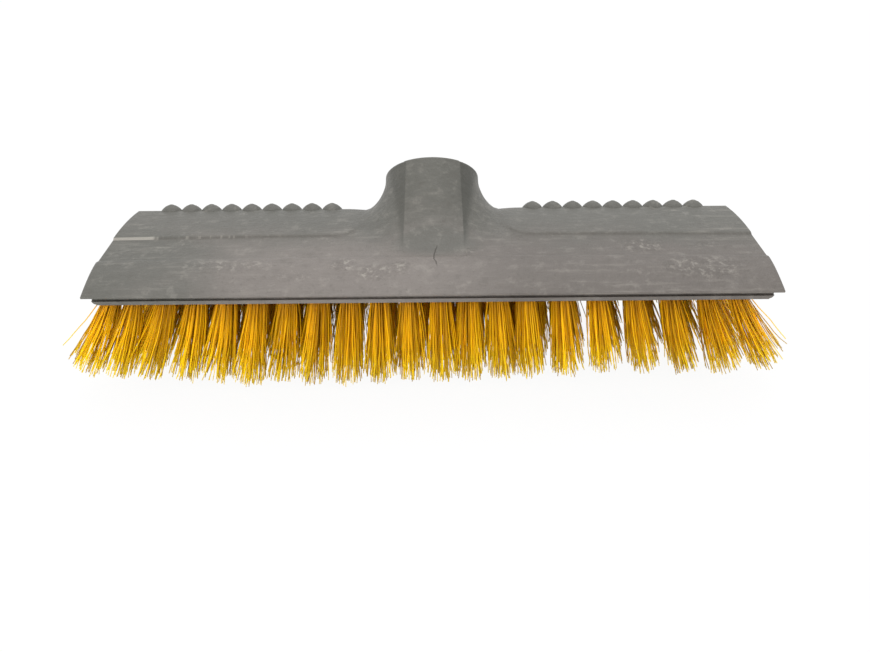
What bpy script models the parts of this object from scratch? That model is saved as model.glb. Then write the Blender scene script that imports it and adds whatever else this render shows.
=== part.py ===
# Broom head: a grey moulded block with a tilted handle socket and rows of yellow bristle tufts.
# Metres, +Z up, -Y is the front. The floor that the bristles touch is Z = 0.
# Section coordinates: y runs back from the front lip, z runs up from the lip's top corner.

import math
import random

import bmesh
import bpy
from mathutils import Matrix, Vector

# Block outline
BLOCK_LENGTH = 0.250
BLOCK_DEPTH = 0.0674
LIP_THICKNESS = 0.0012
LIP_EDGE = 0.0004
END_EDGE = 0.0004
END_SPLAY = 0.0006

# Top surface, measured at mid length
CREST_Y = 0.0181
CREST_HEIGHT = 0.0044
BAND_START_Y = 0.0209
BAND_END_Y = 0.0363
BAND_HEIGHT = 0.0034
PAD_START_Y = 0.0382
PAD_HEIGHT = 0.0041
PAD_STEP = 0.00075
PAD_INNER_X = 0.0296
PAD_CORNER = 0.0080
PAD_CORNER_CUTS = 6
PAD_END_INSET = 0.0003
CROWN_DROP = 0.23
CROWN_STATIONS = 16
CREST_STEPS = 7
PAD_STEPS = 8

# Lower body under the lip
BODY_END_INSET = 0.0020
BODY_FRONT_INSET = 0.0024
BODY_DEPTH_BELOW_LIP = 0.0053
BODY_CORNER = 0.0018
BODY_CORNER_STEPS = 4
BODY_EDGE = 0.0006
BODY_EMBED = 0.0008
GROOVE_DEPTH = 0.0012
GROOVE_UNDER_LIP = 0.0002
GROOVE_OVER_BOTTOM = 0.0015
GROOVE_OVERRUN = 0.0010

# Handle socket
SOCKET_TILT = math.radians(49.0)
SOCKET_RADIUS = 0.0194
SOCKET_RIM_Y = 0.0713
SOCKET_RIM_Z = 0.0123
SOCKET_BASE_STEP = 0.0006
SOCKET_BLEND = 0.0095
SOCKET_BLEND_SIDE = 0.0150
SOCKET_BLEND_REAR = 0.0035
SOCKET_BLEND_SUNK = 0.0007
SOCKET_BLEND_RIM_GAP = 0.0005
SOCKET_BLEND_FADE = 0.0060
SOCKET_PANEL_ANGLE = math.radians(33.5)
SOCKET_PANEL_RISE = 0.0005
SOCKET_RIM_EDGE = 0.0007
SOCKET_SIDES = 60
SOCKET_BLEND_STEPS = 8
SOCKET_TUBE_STEPS = 4
SOCKET_SINK = 0.0002
BORE_RADIUS = 0.0125
BORE_FLOOR = 0.0020
BORE_OVERRUN = 0.0100
BORE_SIDES = 48

# Teeth along the rear edge
TEETH_PER_SIDE = 9
TOOTH_FIRST_X = 0.0430
TOOTH_END_MARGIN = 0.01304
TOOTH_FOOT_OVERLAP = 0.0003
TOOTH_TIP_RADIUS = 0.0013
TOOTH_TIP_ROUND = 0.0009
TOOTH_HEIGHT = 0.0040
TOOTH_ROOT_COVER = 0.00017
TOOTH_TILT = math.radians(20.0)
TOOTH_FORWARD = 0.0004
TOOTH_DROP = 0.0012
TOOTH_SIDES = 14
RAIL_BEHIND = 0.0046
RAIL_TOP_DROP = 0.0034
RAIL_HEIGHT = 0.0018
RAIL_OVERLAP = 0.0040
RAIL_BACKING_INSET = 0.0006
RAIL_BACKING_ENDS = 0.0002
RAIL_BACKING_EMBED = 0.0004

# Tufts
TUFT_ROWS = 5
TUFT_FIRST_MARGIN = 0.0074
TUFT_LAST_MARGIN = 0.0137
TUFT_GAPS = ((1, 0.0087), (10, 0.0112), (3, 0.0104), (5, 0.0132), (1, 0.0113))
TUFT_FIRST_Y = 0.0082
TUFT_ROW_PITCH = 0.0128
TUFT_RADIUS = 0.0032
ROW_FAN = 0.029
ROW_END_CLEAR = 0.0130
CENTRE_SHIFTS = (0.0, 0.0040, 0.0030, 0.0030, 0.0055)
CENTRE_SHIFT_X = 0.0070
CENTRE_SHIFT_FADE = (0.0160, 0.0420)
LEFT_SHIFTS = (0.0, 0.0, 0.0, 0.0, 0.0050)
LEFT_SHIFT_FADE = (0.0200, 0.0450)
TUFTS_PER_STRIP = 4
SEAT_THICKNESS = 0.0030
SEAT_OVERRUN = 0.0020
CLEARANCE = 0.0003
BORE_TO_TUFT_WALL = 0.0015
PLUG_SIDES = 12

# Strands
STRAND_LENGTH = 0.0420
TIP_TRIM = 0.0005
STRAND_ROOT_RADIUS = 0.00062
STRAND_TIP_RADIUS = 0.00045
STRAND_EMBED = 0.0008
STRAND_SIDES = 3
ROOT_RING_RADIUS = 0.0024
TIP_RING_RADIUS = 0.0048
TIP_JITTER = 0.0003
TIP_RAGGED = 0.0030
END_SHORTENING = 0.0026
RIGHT_SHORTENING = 0.0030
RIGHT_SHORTENING_FADE = (0.0200, 0.0450)
FRONT_RING_STRANDS = 5
REAR_RING_STRANDS = 4
RING_TURN = 0.4
LEAN_LINEAR = 0.11
LEAN_END_GAIN = 0.056
RIGHT_END_LEAN = 0.0079
RIGHT_END_LEAN_FADE = (0.0880, 0.1115)
ROW_LEAN = 0.02
STRAND_SEED = 7

# Modelling tolerances
SAME_PLACE = 0.000001
STATION_GAP = 0.0001
SMOOTH_ANGLE = math.radians(30.0)
SURFACE_PASSES = 8

# Derived places
HALF_LENGTH = BLOCK_LENGTH / 2
TOOTH_PITCH = (HALF_LENGTH - TOOTH_END_MARGIN - TOOTH_FIRST_X) / (TEETH_PER_SIDE - 1)
TOOTH_BASE_RADIUS = TOOTH_PITCH / 2 + TOOTH_FOOT_OVERLAP
RAIL_BOTTOM = -RAIL_TOP_DROP - RAIL_HEIGHT
# The teeth's tilted roots end inside the rail, a cover above its underside
TOOTH_FOOT_DROP = -RAIL_BOTTOM - TOOTH_ROOT_COVER - TOOTH_DROP
TOOTH_ROOT = (TOOTH_FOOT_DROP - TOOTH_BASE_RADIUS * math.sin(TOOTH_TILT)) / math.cos(TOOTH_TILT)
UNDERSIDE_HEIGHT = STRAND_LENGTH - TIP_TRIM
LIP_LEVEL = UNDERSIDE_HEIGHT + BODY_DEPTH_BELOW_LIP
AXIS = Vector((0.0, math.sin(SOCKET_TILT), math.cos(SOCKET_TILT)))
RIM_CENTRE = Vector((0.0, SOCKET_RIM_Y, SOCKET_RIM_Z))
REAR_REACH = max(BLOCK_DEPTH + RAIL_BEHIND, SOCKET_RIM_Y + SOCKET_RADIUS * AXIS.z)
FRAME_OFFSET = Vector((0.0, -REAR_REACH / 2, LIP_LEVEL))
BODY_BOTTOM = -BODY_DEPTH_BELOW_LIP


def clear_scene():
    for item in list(bpy.data.objects):
        bpy.data.objects.remove(item, do_unlink=True)


def new_collection(name):
    collection = bpy.data.collections.new(name)
    bpy.context.scene.collection.children.link(collection)
    return collection


def make_material(name, color, roughness, metallic=0.0):
    material = bpy.data.materials.new(name)
    material.use_nodes = True
    shader = material.node_tree.nodes["Principled BSDF"]
    shader.inputs["Base Color"].default_value = (*color, 1.0)
    shader.inputs["Roughness"].default_value = roughness
    shader.inputs["Metallic"].default_value = metallic
    material.diffuse_color = (*color, 1.0)
    return material


def add_object(name, bm, collection, parent, material=None):
    bmesh.ops.recalc_face_normals(bm, faces=bm.faces)
    if bm.calc_volume(signed=True) < 0.0:
        bmesh.ops.reverse_faces(bm, faces=bm.faces)
    mesh = bpy.data.meshes.new(name)
    bm.to_mesh(mesh)
    bm.free()
    mesh.shade_smooth()
    mesh.set_sharp_from_angle(angle=SMOOTH_ANGLE)
    item = bpy.data.objects.new(name, mesh)
    collection.objects.link(item)
    item.parent = parent
    if material:
        mesh.materials.append(material)
    return item


def add_cutter(name, bm, collection, parent):
    item = add_object(name, bm, collection, parent)
    item.hide_render = True
    item.display_type = "WIRE"
    return item


def add_boolean(target, tool, operation):
    modifier = target.modifiers.new(tool.name, "BOOLEAN")
    modifier.operation = operation
    modifier.solver = "EXACT"
    modifier.object = tool


# The top surface

def arc_drop(distance, reach, height):
    """Fall of an arc that is level at its start and drops by height over reach."""
    return height * (distance / reach) ** 2


def crest_surface(y):
    return CREST_HEIGHT - arc_drop(CREST_Y - y, CREST_Y, CREST_HEIGHT)


def pad_surface(y):
    return PAD_HEIGHT - arc_drop(y - PAD_START_Y, BLOCK_DEPTH - PAD_START_Y, PAD_HEIGHT)


def ground_height(y):
    """Height of the block's top along the middle section, without the raised pads."""
    if y < CREST_Y:
        return crest_surface(y)
    if y < PAD_START_Y:
        return BAND_HEIGHT
    return pad_surface(min(y, BLOCK_DEPTH)) - PAD_STEP


def smooth_share(value, low, high):
    """0 below low, 1 above high, and an even S between them."""
    share = min(max((value - low) / (high - low), 0.0), 1.0)
    return share * share * (3.0 - 2.0 * share)


def crown(x):
    return 1.0 - CROWN_DROP * (x / HALF_LENGTH) ** 2


def slab_profile():
    points = [(LIP_EDGE, -LIP_THICKNESS), (0.0, -LIP_THICKNESS + LIP_EDGE), (0.0, 0.0)]
    for step in range(1, CREST_STEPS + 1):
        y = CREST_Y * step / CREST_STEPS
        points.append((y, crest_surface(y)))
    points.append((BAND_START_Y, BAND_HEIGHT))
    points.append((BAND_END_Y, BAND_HEIGHT))
    for step in range(PAD_STEPS + 1):
        y = PAD_START_Y + (BLOCK_DEPTH - PAD_START_Y) * step / PAD_STEPS
        points.append((y, pad_surface(y) - PAD_STEP))
    points.append((BLOCK_DEPTH, -LIP_THICKNESS + LIP_EDGE))
    points.append((BLOCK_DEPTH - LIP_EDGE, -LIP_THICKNESS))
    return points


def pad_profile():
    back = BLOCK_DEPTH - PAD_END_INSET
    points = []
    for step in range(PAD_STEPS + 1):
        y = PAD_START_Y + (back - PAD_START_Y) * step / PAD_STEPS
        points.append((y, pad_surface(y)))
    points.append((back, -LIP_THICKNESS / 2 - PAD_STEP / 2))
    points.append((PAD_START_Y, BAND_HEIGHT / 2))
    return points


def flat_outline(name, points, half_thickness):
    """A filled 2D curve, extruded both ways, as a welded mesh."""
    curve = bpy.data.curves.new(name, "CURVE")
    curve.dimensions = "2D"
    curve.fill_mode = "BOTH"
    curve.extrude = half_thickness
    spline = curve.splines.new("POLY")
    spline.points.add(len(points) - 1)
    for point, (a, b) in zip(spline.points, points):
        point.co = (a, b, 0.0, 1.0)
    spline.use_cyclic_u = True
    guide = bpy.data.objects.new(name, curve)
    bpy.context.scene.collection.objects.link(guide)
    bpy.context.view_layer.update()
    evaluated = guide.evaluated_get(bpy.context.evaluated_depsgraph_get())
    mesh = bpy.data.meshes.new_from_object(evaluated)
    bm = bmesh.new()
    bm.from_mesh(mesh)
    bmesh.ops.remove_doubles(bm, verts=bm.verts, dist=SAME_PLACE)
    bpy.data.objects.remove(guide, do_unlink=True)
    bpy.data.meshes.remove(mesh)
    return bm


def profile_along_x(name, points, x_start, x_end):
    """A profile carried from x_start to x_end, crowned, and a little wider at the rear."""
    bm = flat_outline(name, points, (x_end - x_start) / 2)
    turn = Matrix(((0, 0, 1), (1, 0, 0), (0, 1, 0))).to_4x4()
    move = Matrix.Translation(((x_start + x_end) / 2, 0.0, 0.0))
    bm.transform(move @ turn)
    for step in range(1, CROWN_STATIONS):
        x = -HALF_LENGTH + BLOCK_LENGTH * step / CROWN_STATIONS
        if x_start + STATION_GAP < x < x_end - STATION_GAP:
            geometry = bm.verts[:] + bm.edges[:] + bm.faces[:]
            bmesh.ops.bisect_plane(bm, geom=geometry, plane_co=(x, 0, 0), plane_no=(1, 0, 0))
    for vertex in bm.verts:
        if vertex.co.z > 0.0:
            vertex.co.z *= crown(vertex.co.x)
        vertex.co.x *= 1.0 + END_SPLAY / HALF_LENGTH * vertex.co.y / BLOCK_DEPTH
    split_bent_quads(bm)
    return bm


def box(low, high):
    low = Vector(low)
    high = Vector(high)
    size = high - low
    bm = bmesh.new()
    bmesh.ops.create_cube(bm, size=1.0)
    bm.transform(Matrix.Translation((low + high) / 2) @ Matrix.Diagonal((*size, 1.0)))
    return bm


def split_bent_quads(bm):
    """Crowned and lofted quads aren't flat, and a Boolean needs flat faces."""
    bmesh.ops.triangulate(bm, faces=[face for face in bm.faces if len(face.verts) == 4])


def merge_into(target, source):
    """Adds the geometry of one bmesh to another and frees the first."""
    mesh = bpy.data.meshes.new("merge")
    source.to_mesh(mesh)
    source.free()
    target.from_mesh(mesh)
    bpy.data.meshes.remove(mesh)


# Block parts

def on_top_outline(edge):
    """An edge of the slab's end faces, above the lip's corner."""
    at_end = all(abs(vertex.co.x) > HALF_LENGTH - SAME_PLACE and vertex.co.z > -SAME_PLACE
                 for vertex in edge.verts)
    return at_end and any(abs(face.normal.x) < 0.5 for face in edge.link_faces)


def build_slab(collection, parent, material):
    bm = profile_along_x("slab_outline", slab_profile(), -HALF_LENGTH, HALF_LENGTH)
    bm.normal_update()
    ends = [edge for edge in bm.edges if on_top_outline(edge)]
    bmesh.ops.bevel(bm, geom=ends, offset=END_EDGE, segments=2, profile=0.5, affect="EDGES")
    split_bent_quads(bm)
    return add_object("head_block", bm, collection, parent, material)


def cut_off(bm, place, outward):
    """Removes what lies beyond a plane and closes the cut."""
    geometry = bm.verts[:] + bm.edges[:] + bm.faces[:]
    cut = bmesh.ops.bisect_plane(bm, geom=geometry, plane_co=place, plane_no=outward, clear_outer=True)
    loop = [item for item in cut["geom_cut"] if isinstance(item, bmesh.types.BMEdge)]
    bmesh.ops.edgeloop_fill(bm, edges=loop)
    return loop


def round_inner_corner(pad, side):
    """Trims the pad's front corner beside the socket to a round one, with upright cuts."""
    centre = Vector((side * (PAD_INNER_X + PAD_CORNER), PAD_START_Y + PAD_CORNER, 0.0))
    for step in range(PAD_CORNER_CUTS):
        angle = math.pi / 2 * (step + 0.5) / PAD_CORNER_CUTS
        outward = Vector((-side * math.cos(angle), -math.sin(angle), 0.0))
        cut_off(pad, centre + outward * PAD_CORNER, outward)


def build_pads(collection, parent):
    """The two raised rear pads."""
    pads = bmesh.new()
    for side in (-1, 1):
        ends = sorted((side * PAD_INNER_X, side * (HALF_LENGTH - PAD_END_INSET)))
        pad = profile_along_x("pad_outline", pad_profile(), *ends)
        round_inner_corner(pad, side)
        merge_into(pads, pad)
    return add_cutter("pad_shape", pads, collection, parent)


def body_outline():
    """The body seen from the front: square at the top, a round corner below each end."""
    reach = HALF_LENGTH - BODY_END_INSET
    top = -LIP_THICKNESS + BODY_EMBED
    right = []
    for step in range(BODY_CORNER_STEPS + 1):
        turn = math.pi / 2 * step / BODY_CORNER_STEPS
        right.append((reach - BODY_CORNER + BODY_CORNER * math.cos(turn),
                      BODY_BOTTOM + BODY_CORNER - BODY_CORNER * math.sin(turn)))
    left = [(-x, z) for x, z in reversed(right)]
    return [(reach, top)] + right + left + [(-reach, top)]


def build_lower_body(collection, parent):
    bm = bmesh.new()
    ends = (BODY_FRONT_INSET, BLOCK_DEPTH - BODY_FRONT_INSET)
    front, back = [[bm.verts.new((x, y, z)) for x, z in body_outline()] for y in ends]
    for k in range(len(front)):
        following = (k + 1) % len(front)
        bm.faces.new((front[k], front[following], back[following], back[k]))
    bm.faces.new(front)
    bm.faces.new(back)
    top = -LIP_THICKNESS + BODY_EMBED
    rims = [edge for edge in bm.edges if edge.verts[0].co.y == edge.verts[1].co.y
            and min(vertex.co.z for vertex in edge.verts) < top - SAME_PLACE]
    bmesh.ops.bevel(bm, geom=rims, offset=BODY_EDGE, segments=2, profile=0.5, affect="EDGES")
    bmesh.ops.recalc_face_normals(bm, faces=bm.faces)
    split_bent_quads(bm)
    return add_cutter("lower_body_shape", bm, collection, parent)


def build_groove(collection, parent):
    """The groove along the body's front, between the lip and the body's lower edge."""
    reach = HALF_LENGTH + GROOVE_OVERRUN
    bm = box((-reach, BODY_FRONT_INSET - GROOVE_OVERRUN, BODY_BOTTOM + GROOVE_OVER_BOTTOM),
             (reach, BODY_FRONT_INSET + GROOVE_DEPTH, -LIP_THICKNESS - GROOVE_UNDER_LIP))
    return add_cutter("groove_cutter", bm, collection, parent)


# Socket

def socket_centre_y(z):
    return SOCKET_RIM_Y + (z - SOCKET_RIM_Z) * math.tan(SOCKET_TILT)


def blend_radius(angle):
    """The blend is widest at the socket's sides and runs out behind them."""
    beside = math.sin(angle) ** 2
    if abs(angle) > math.pi / 2:
        return SOCKET_BLEND_REAR + (SOCKET_BLEND_SIDE - SOCKET_BLEND_REAR) * beside ** 2
    return SOCKET_BLEND + (SOCKET_BLEND_SIDE - SOCKET_BLEND) * beside


def blend_offset(angle, height, point):
    """How far the blend stands off the tube, from the height over the block's top."""
    blend = blend_radius(angle)
    sunk = SOCKET_BLEND_SUNK * math.sin(angle) ** 2
    rise = blend - min(max(height + sunk, 0.0), blend)
    offset = blend - math.sqrt(blend ** 2 - rise ** 2)
    below_rim = (RIM_CENTRE - point).dot(AXIS)
    return offset * smooth_share(below_rim - SOCKET_BLEND_RIM_GAP, 0.0, SOCKET_BLEND_FADE)


def socket_point(angle, height, fixed_z=None):
    """A point of the socket's skin; angle 0 is its front, height is over the block's top."""
    half_depth = SOCKET_RADIUS / math.cos(SOCKET_TILT)
    z = height + BAND_HEIGHT
    y = 0.0
    for _ in range(SURFACE_PASSES):
        y = socket_centre_y(z) - half_depth * math.cos(angle)
        z = height + ground_height(max(y, 0.0))
    if fixed_z is not None:
        z = fixed_z
        y = socket_centre_y(z) - half_depth * math.cos(angle)
    point = Vector((SOCKET_RADIUS * math.sin(angle), y, z))
    outward = Vector((math.sin(angle), -math.cos(angle) * math.cos(SOCKET_TILT), 0.0)).normalized()
    offset = blend_offset(angle, height, point)
    if abs(angle) < SOCKET_PANEL_ANGLE:
        offset += SOCKET_PANEL_RISE
    return point + outward * offset


def socket_heights(angle):
    """Heights over the block's top: even angles up the blend's arc, then even steps of tube."""
    blend = blend_radius(angle)
    top = SOCKET_RIM_Z + SOCKET_RADIUS
    heights = [-SOCKET_SINK]
    for step in range(1, SOCKET_BLEND_STEPS + 1):
        heights.append(blend * (1 - math.cos(math.pi / 2 * step / SOCKET_BLEND_STEPS)))
    for step in range(1, SOCKET_TUBE_STEPS + 1):
        heights.append(blend + (top - blend) * step / SOCKET_TUBE_STEPS)
    return heights


def socket_rings():
    """Rings of the socket's skin from its base up past the rim."""
    angles = [-math.pi + 2 * math.pi * k / SOCKET_SIDES for k in range(SOCKET_SIDES)]
    base = BODY_BOTTOM + SOCKET_BASE_STEP
    skins = [[socket_point(angle, 0.0, base)] + [socket_point(angle, height)
                                                 for height in socket_heights(angle)]
             for angle in angles]
    return [list(ring) for ring in zip(*skins)]


def build_socket(collection, parent):
    """The blended tube, lofted from its base and cut square to its axis at the rim."""
    bm = bmesh.new()
    rings = [[bm.verts.new(point) for point in ring] for ring in socket_rings()]
    for low, high in zip(rings, rings[1:]):
        for k in range(SOCKET_SIDES):
            following = (k + 1) % SOCKET_SIDES
            bm.faces.new((low[k], low[following], high[following], high[k]))
    bm.faces.new(rings[0])
    bm.faces.new(rings[-1])
    bmesh.ops.recalc_face_normals(bm, faces=bm.faces)
    rim = cut_off(bm, RIM_CENTRE, AXIS)
    bmesh.ops.bevel(bm, geom=rim, offset=SOCKET_RIM_EDGE, segments=2, profile=0.5, affect="EDGES")
    split_bent_quads(bm)
    return add_cutter("socket_shape", bm, collection, parent)


def build_bore(collection, parent):
    """The handle hole: it follows the socket's axis and stops at the floor skin."""
    bm = bmesh.new()
    reach = SOCKET_RIM_Z + SOCKET_RADIUS - BODY_BOTTOM
    depth = reach / AXIS.z + BORE_OVERRUN
    bmesh.ops.create_cone(bm, cap_ends=True, segments=BORE_SIDES, radius1=BORE_RADIUS,
                          radius2=BORE_RADIUS, depth=depth)
    middle = RIM_CENTRE + AXIS * (BORE_OVERRUN - depth / 2)
    bm.transform(Matrix.Translation(middle) @ Matrix.Rotation(-SOCKET_TILT, 4, "X"))
    cut_off(bm, Vector((0.0, 0.0, BODY_BOTTOM + BORE_FLOOR)), Vector((0.0, 0.0, -1.0)))
    return add_cutter("bore_cutter", bm, collection, parent)


# Teeth

def tooth_mesh():
    """A cone with a round tip, standing on its root."""
    bm = bmesh.new()
    bmesh.ops.create_cone(bm, cap_ends=True, segments=TOOTH_SIDES, radius1=TOOTH_BASE_RADIUS,
                          radius2=TOOTH_TIP_RADIUS, depth=TOOTH_HEIGHT)
    bm.transform(Matrix.Translation((0, 0, TOOTH_HEIGHT / 2)))
    tip = [edge for edge in bm.edges
           if min(vertex.co.z for vertex in edge.verts) > TOOTH_HEIGHT - SAME_PLACE]
    bmesh.ops.bevel(bm, geom=tip, offset=TOOTH_TIP_ROUND, segments=2, profile=0.5, affect="EDGES")
    base = [face for face in bm.faces if face.normal.z < -0.9]
    pushed = bmesh.ops.extrude_face_region(bm, geom=base)
    for item in pushed["geom"]:
        if isinstance(item, bmesh.types.BMVert):
            item.co.z -= TOOTH_ROOT
    bmesh.ops.delete(bm, geom=base, context="FACES")
    return bm


def build_teeth(collection, parent, parity):
    """Every other tooth, because neighbours touch at their feet."""
    teeth = bmesh.new()
    lean = Matrix.Rotation(-TOOTH_TILT, 4, "X")
    for index in range(parity, TEETH_PER_SIDE, 2):
        for side in (-1, 1):
            x = side * (TOOTH_FIRST_X + TOOTH_PITCH * index)
            tooth = tooth_mesh()
            tooth.transform(Matrix.Translation((x, BLOCK_DEPTH - TOOTH_FORWARD, -TOOTH_DROP)) @ lean)
            merge_into(teeth, tooth)
    return add_cutter("teeth_shape_%d" % parity, teeth, collection, parent)


def rail_ends():
    inner = TOOTH_FIRST_X - TOOTH_PITCH / 2
    outer = inner + TOOTH_PITCH * TEETH_PER_SIDE
    return [sorted((side * inner, side * outer)) for side in (-1, 1)]


def build_rails(collection, parent):
    """The ledge under the rear edge that the teeth stand on."""
    rails = bmesh.new()
    for x_low, x_high in rail_ends():
        merge_into(rails, box((x_low, BLOCK_DEPTH - RAIL_OVERLAP, RAIL_BOTTOM),
                              (x_high, BLOCK_DEPTH + RAIL_BEHIND, -RAIL_TOP_DROP)))
    return add_cutter("rail_shape", rails, collection, parent)


def build_rail_backing(collection, parent):
    """Fills the corner between the rail, the body and the lip, in front of the teeth."""
    backing = bmesh.new()
    for x_low, x_high in rail_ends():
        low = (x_low + RAIL_BACKING_ENDS, BLOCK_DEPTH - BODY_FRONT_INSET - RAIL_BACKING_INSET,
               -RAIL_TOP_DROP - RAIL_HEIGHT / 2)
        high = (x_high - RAIL_BACKING_ENDS, BLOCK_DEPTH - RAIL_BACKING_INSET,
                -LIP_THICKNESS + RAIL_BACKING_EMBED)
        merge_into(backing, box(low, high))
    return add_cutter("rail_backing_shape", backing, collection, parent)


# Tufts

def tuft_columns():
    """Column places; the gaps between them change along the row and stretch with the block."""
    room = BLOCK_LENGTH - TUFT_FIRST_MARGIN - TUFT_LAST_MARGIN
    stretch = room / sum(count * gap for count, gap in TUFT_GAPS)
    places = [TUFT_FIRST_MARGIN - HALF_LENGTH]
    for count, gap in TUFT_GAPS:
        for _ in range(count):
            places.append(places[-1] + gap * stretch)
    return places


def row_y(row):
    return TUFT_FIRST_Y + TUFT_ROW_PITCH * row


def row_shift(row, x):
    """Rear rows stand between the front tufts near the middle, the last one on the left too."""
    centre = 1.0 - smooth_share(abs(x - CENTRE_SHIFT_X), *CENTRE_SHIFT_FADE)
    left = smooth_share(-x, *LEFT_SHIFT_FADE)
    return CENTRE_SHIFTS[row] * centre + LEFT_SHIFTS[row] * left


def row_places(row):
    """Tuft places of a row; rows fan out towards the rear, and end inside the block."""
    if row == 0:
        return tuft_columns()
    fanned = [x * (1.0 + ROW_FAN * row) + row_shift(row, x) for x in tuft_columns()]
    return [x for x in fanned if abs(x) < HALF_LENGTH - ROW_END_CLEAR]


def bore_front_y():
    """The frontmost place where the bore meets its floor."""
    return socket_centre_y(BODY_BOTTOM + BORE_FLOOR) - BORE_RADIUS / math.cos(SOCKET_TILT)


def row_strips(row):
    """A row's tuft places in short strips; places under the bore are left out."""
    wall = TUFT_RADIUS + CLEARANCE + BORE_TO_TUFT_WALL
    reach = BORE_RADIUS + wall if row_y(row) + wall > bore_front_y() else 0.0
    places = row_places(row)
    if reach > 0.0:
        sides = [[x for x in places if x < -reach], [x for x in places if x > reach]]
    else:
        sides = [places]
    strips = []
    for side in sides:
        count = math.ceil(len(side) / TUFTS_PER_STRIP)
        for index in range(count):
            strips.append(side[index * len(side) // count:(index + 1) * len(side) // count])
    return strips


def plug(x, y, radius, thickness):
    bm = bmesh.new()
    bmesh.ops.create_cone(bm, cap_ends=True, segments=PLUG_SIDES, radius1=radius, radius2=radius,
                          depth=thickness)
    bm.transform(Matrix.Translation((x, y, BODY_BOTTOM + thickness / 2)))
    return bm


def strip(places, y, radius, thickness, bottom):
    return box((places[0] - radius, y - radius, bottom),
               (places[-1] + radius, y + radius, bottom + thickness))


def build_seats(collection, parent):
    """Holes in the underside: a round seat for each front tuft, slots for the rows behind."""
    seats = bmesh.new()
    radius = TUFT_RADIUS + CLEARANCE
    depth = SEAT_THICKNESS + CLEARANCE + SEAT_OVERRUN
    for x in row_places(0):
        hole = plug(x, row_y(0), radius, depth)
        hole.transform(Matrix.Translation((0, 0, -SEAT_OVERRUN)))
        merge_into(seats, hole)
    for row in range(1, TUFT_ROWS):
        for places in row_strips(row):
            merge_into(seats, strip(places, row_y(row), radius, depth, BODY_BOTTOM - SEAT_OVERRUN))
    return add_cutter("seat_cutter", seats, collection, parent)


def tuft_lean(x, y):
    """How far a strand's tip lies outward of its root, for the whole strand length."""
    share = x / HALF_LENGTH
    outward = LEAN_LINEAR * x + LEAN_END_GAIN * HALF_LENGTH * share ** 3
    outward += RIGHT_END_LEAN * smooth_share(x, *RIGHT_END_LEAN_FADE)
    return Vector((outward, ROW_LEAN * (y - BLOCK_DEPTH / 2), 0.0))


def strand_mesh(root, tip):
    """A tapered strand whose ends are level, from inside its seat to its tip."""
    bm = bmesh.new()
    depth = root.z - tip.z
    bmesh.ops.create_cone(bm, cap_ends=True, segments=STRAND_SIDES, radius1=STRAND_TIP_RADIUS,
                          radius2=STRAND_ROOT_RADIUS, depth=depth)
    for vertex in bm.verts:
        share = 0.5 - vertex.co.z / depth
        middle = root.lerp(tip, share)
        vertex.co = Vector((middle.x + vertex.co.x, middle.y + vertex.co.y, middle.z))
    return bm


def tuft_shortening(x):
    """Tufts are shorter towards the ends, and more so right of the middle."""
    right = RIGHT_SHORTENING * smooth_share(x, *RIGHT_SHORTENING_FADE)
    return right + END_SHORTENING * (x / HALF_LENGTH) ** 2


def tuft_strands(x, y, ring_count, with_centre, dice):
    """The strands of one tuft, spread from a tight root ring to a wide tip ring."""
    strands = bmesh.new()
    angles = [2 * math.pi * k / ring_count + RING_TURN for k in range(ring_count)]
    places = [(math.cos(angle), math.sin(angle)) for angle in angles]
    if with_centre:
        places.append((0.0, 0.0))
    for across, along in places:
        root = Vector((x + across * ROOT_RING_RADIUS, y + along * ROOT_RING_RADIUS, BODY_BOTTOM))
        spread = TIP_RING_RADIUS - ROOT_RING_RADIUS
        shift = tuft_lean(x, y) + Vector((across * spread, along * spread, 0.0))
        shift.x += dice.uniform(-TIP_JITTER, TIP_JITTER)
        shift.y += dice.uniform(-TIP_JITTER, TIP_JITTER)
        length = STRAND_LENGTH - tuft_shortening(x) - dice.uniform(0.0, TIP_RAGGED)
        fall = math.sqrt(length ** 2 - shift.x ** 2 - shift.y ** 2)
        cut = min(fall, UNDERSIDE_HEIGHT)
        tip = root + shift * (cut / fall) - Vector((0.0, 0.0, cut))
        start = root + (root - tip) * (STRAND_EMBED / cut)
        merge_into(strands, strand_mesh(start, tip))
    return strands


def build_tuft_node(name, seat, strands, collection, cutters, parent, material):
    item = add_object(name, seat, collection, parent, material)
    tool = add_cutter(name + "_strands", strands, cutters, parent)
    add_boolean(item, tool, "UNION")
    return item


def build_front_tufts(collection, cutters, parent, material, dice):
    """The front row, which shows: one node for each tuft."""
    for index, x in enumerate(row_places(0), start=1):
        strands = tuft_strands(x, row_y(0), FRONT_RING_STRANDS, True, dice)
        backing = plug(x, row_y(0), TUFT_RADIUS, SEAT_THICKNESS)
        build_tuft_node("front_tuft_%02d" % index, backing, strands, collection, cutters, parent,
                        material)


def build_rear_tufts(collection, cutters, parent, material, dice):
    """The rows behind it: one node for each short strip of tufts."""
    for row in range(1, TUFT_ROWS):
        for index, places in enumerate(row_strips(row), start=1):
            strands = bmesh.new()
            for x in places:
                merge_into(strands, tuft_strands(x, row_y(row), REAR_RING_STRANDS, False, dice))
            backing = strip(places, row_y(row), TUFT_RADIUS, SEAT_THICKNESS, BODY_BOTTOM)
            build_tuft_node("row_%d_tufts_%d" % (row + 1, index), backing, strands, collection,
                            cutters, parent, material)


def build_block(collection, cutters, parent, material):
    block = build_slab(collection, parent, material)
    for tool in (build_pads(cutters, parent), build_lower_body(cutters, parent),
                 build_rails(cutters, parent), build_rail_backing(cutters, parent),
                 build_teeth(cutters, parent, 0), build_teeth(cutters, parent, 1),
                 build_socket(cutters, parent)):
        add_boolean(block, tool, "UNION")
    for tool in (build_groove(cutters, parent), build_bore(cutters, parent),
                 build_seats(cutters, parent)):
        add_boolean(block, tool, "DIFFERENCE")
    return block


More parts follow.
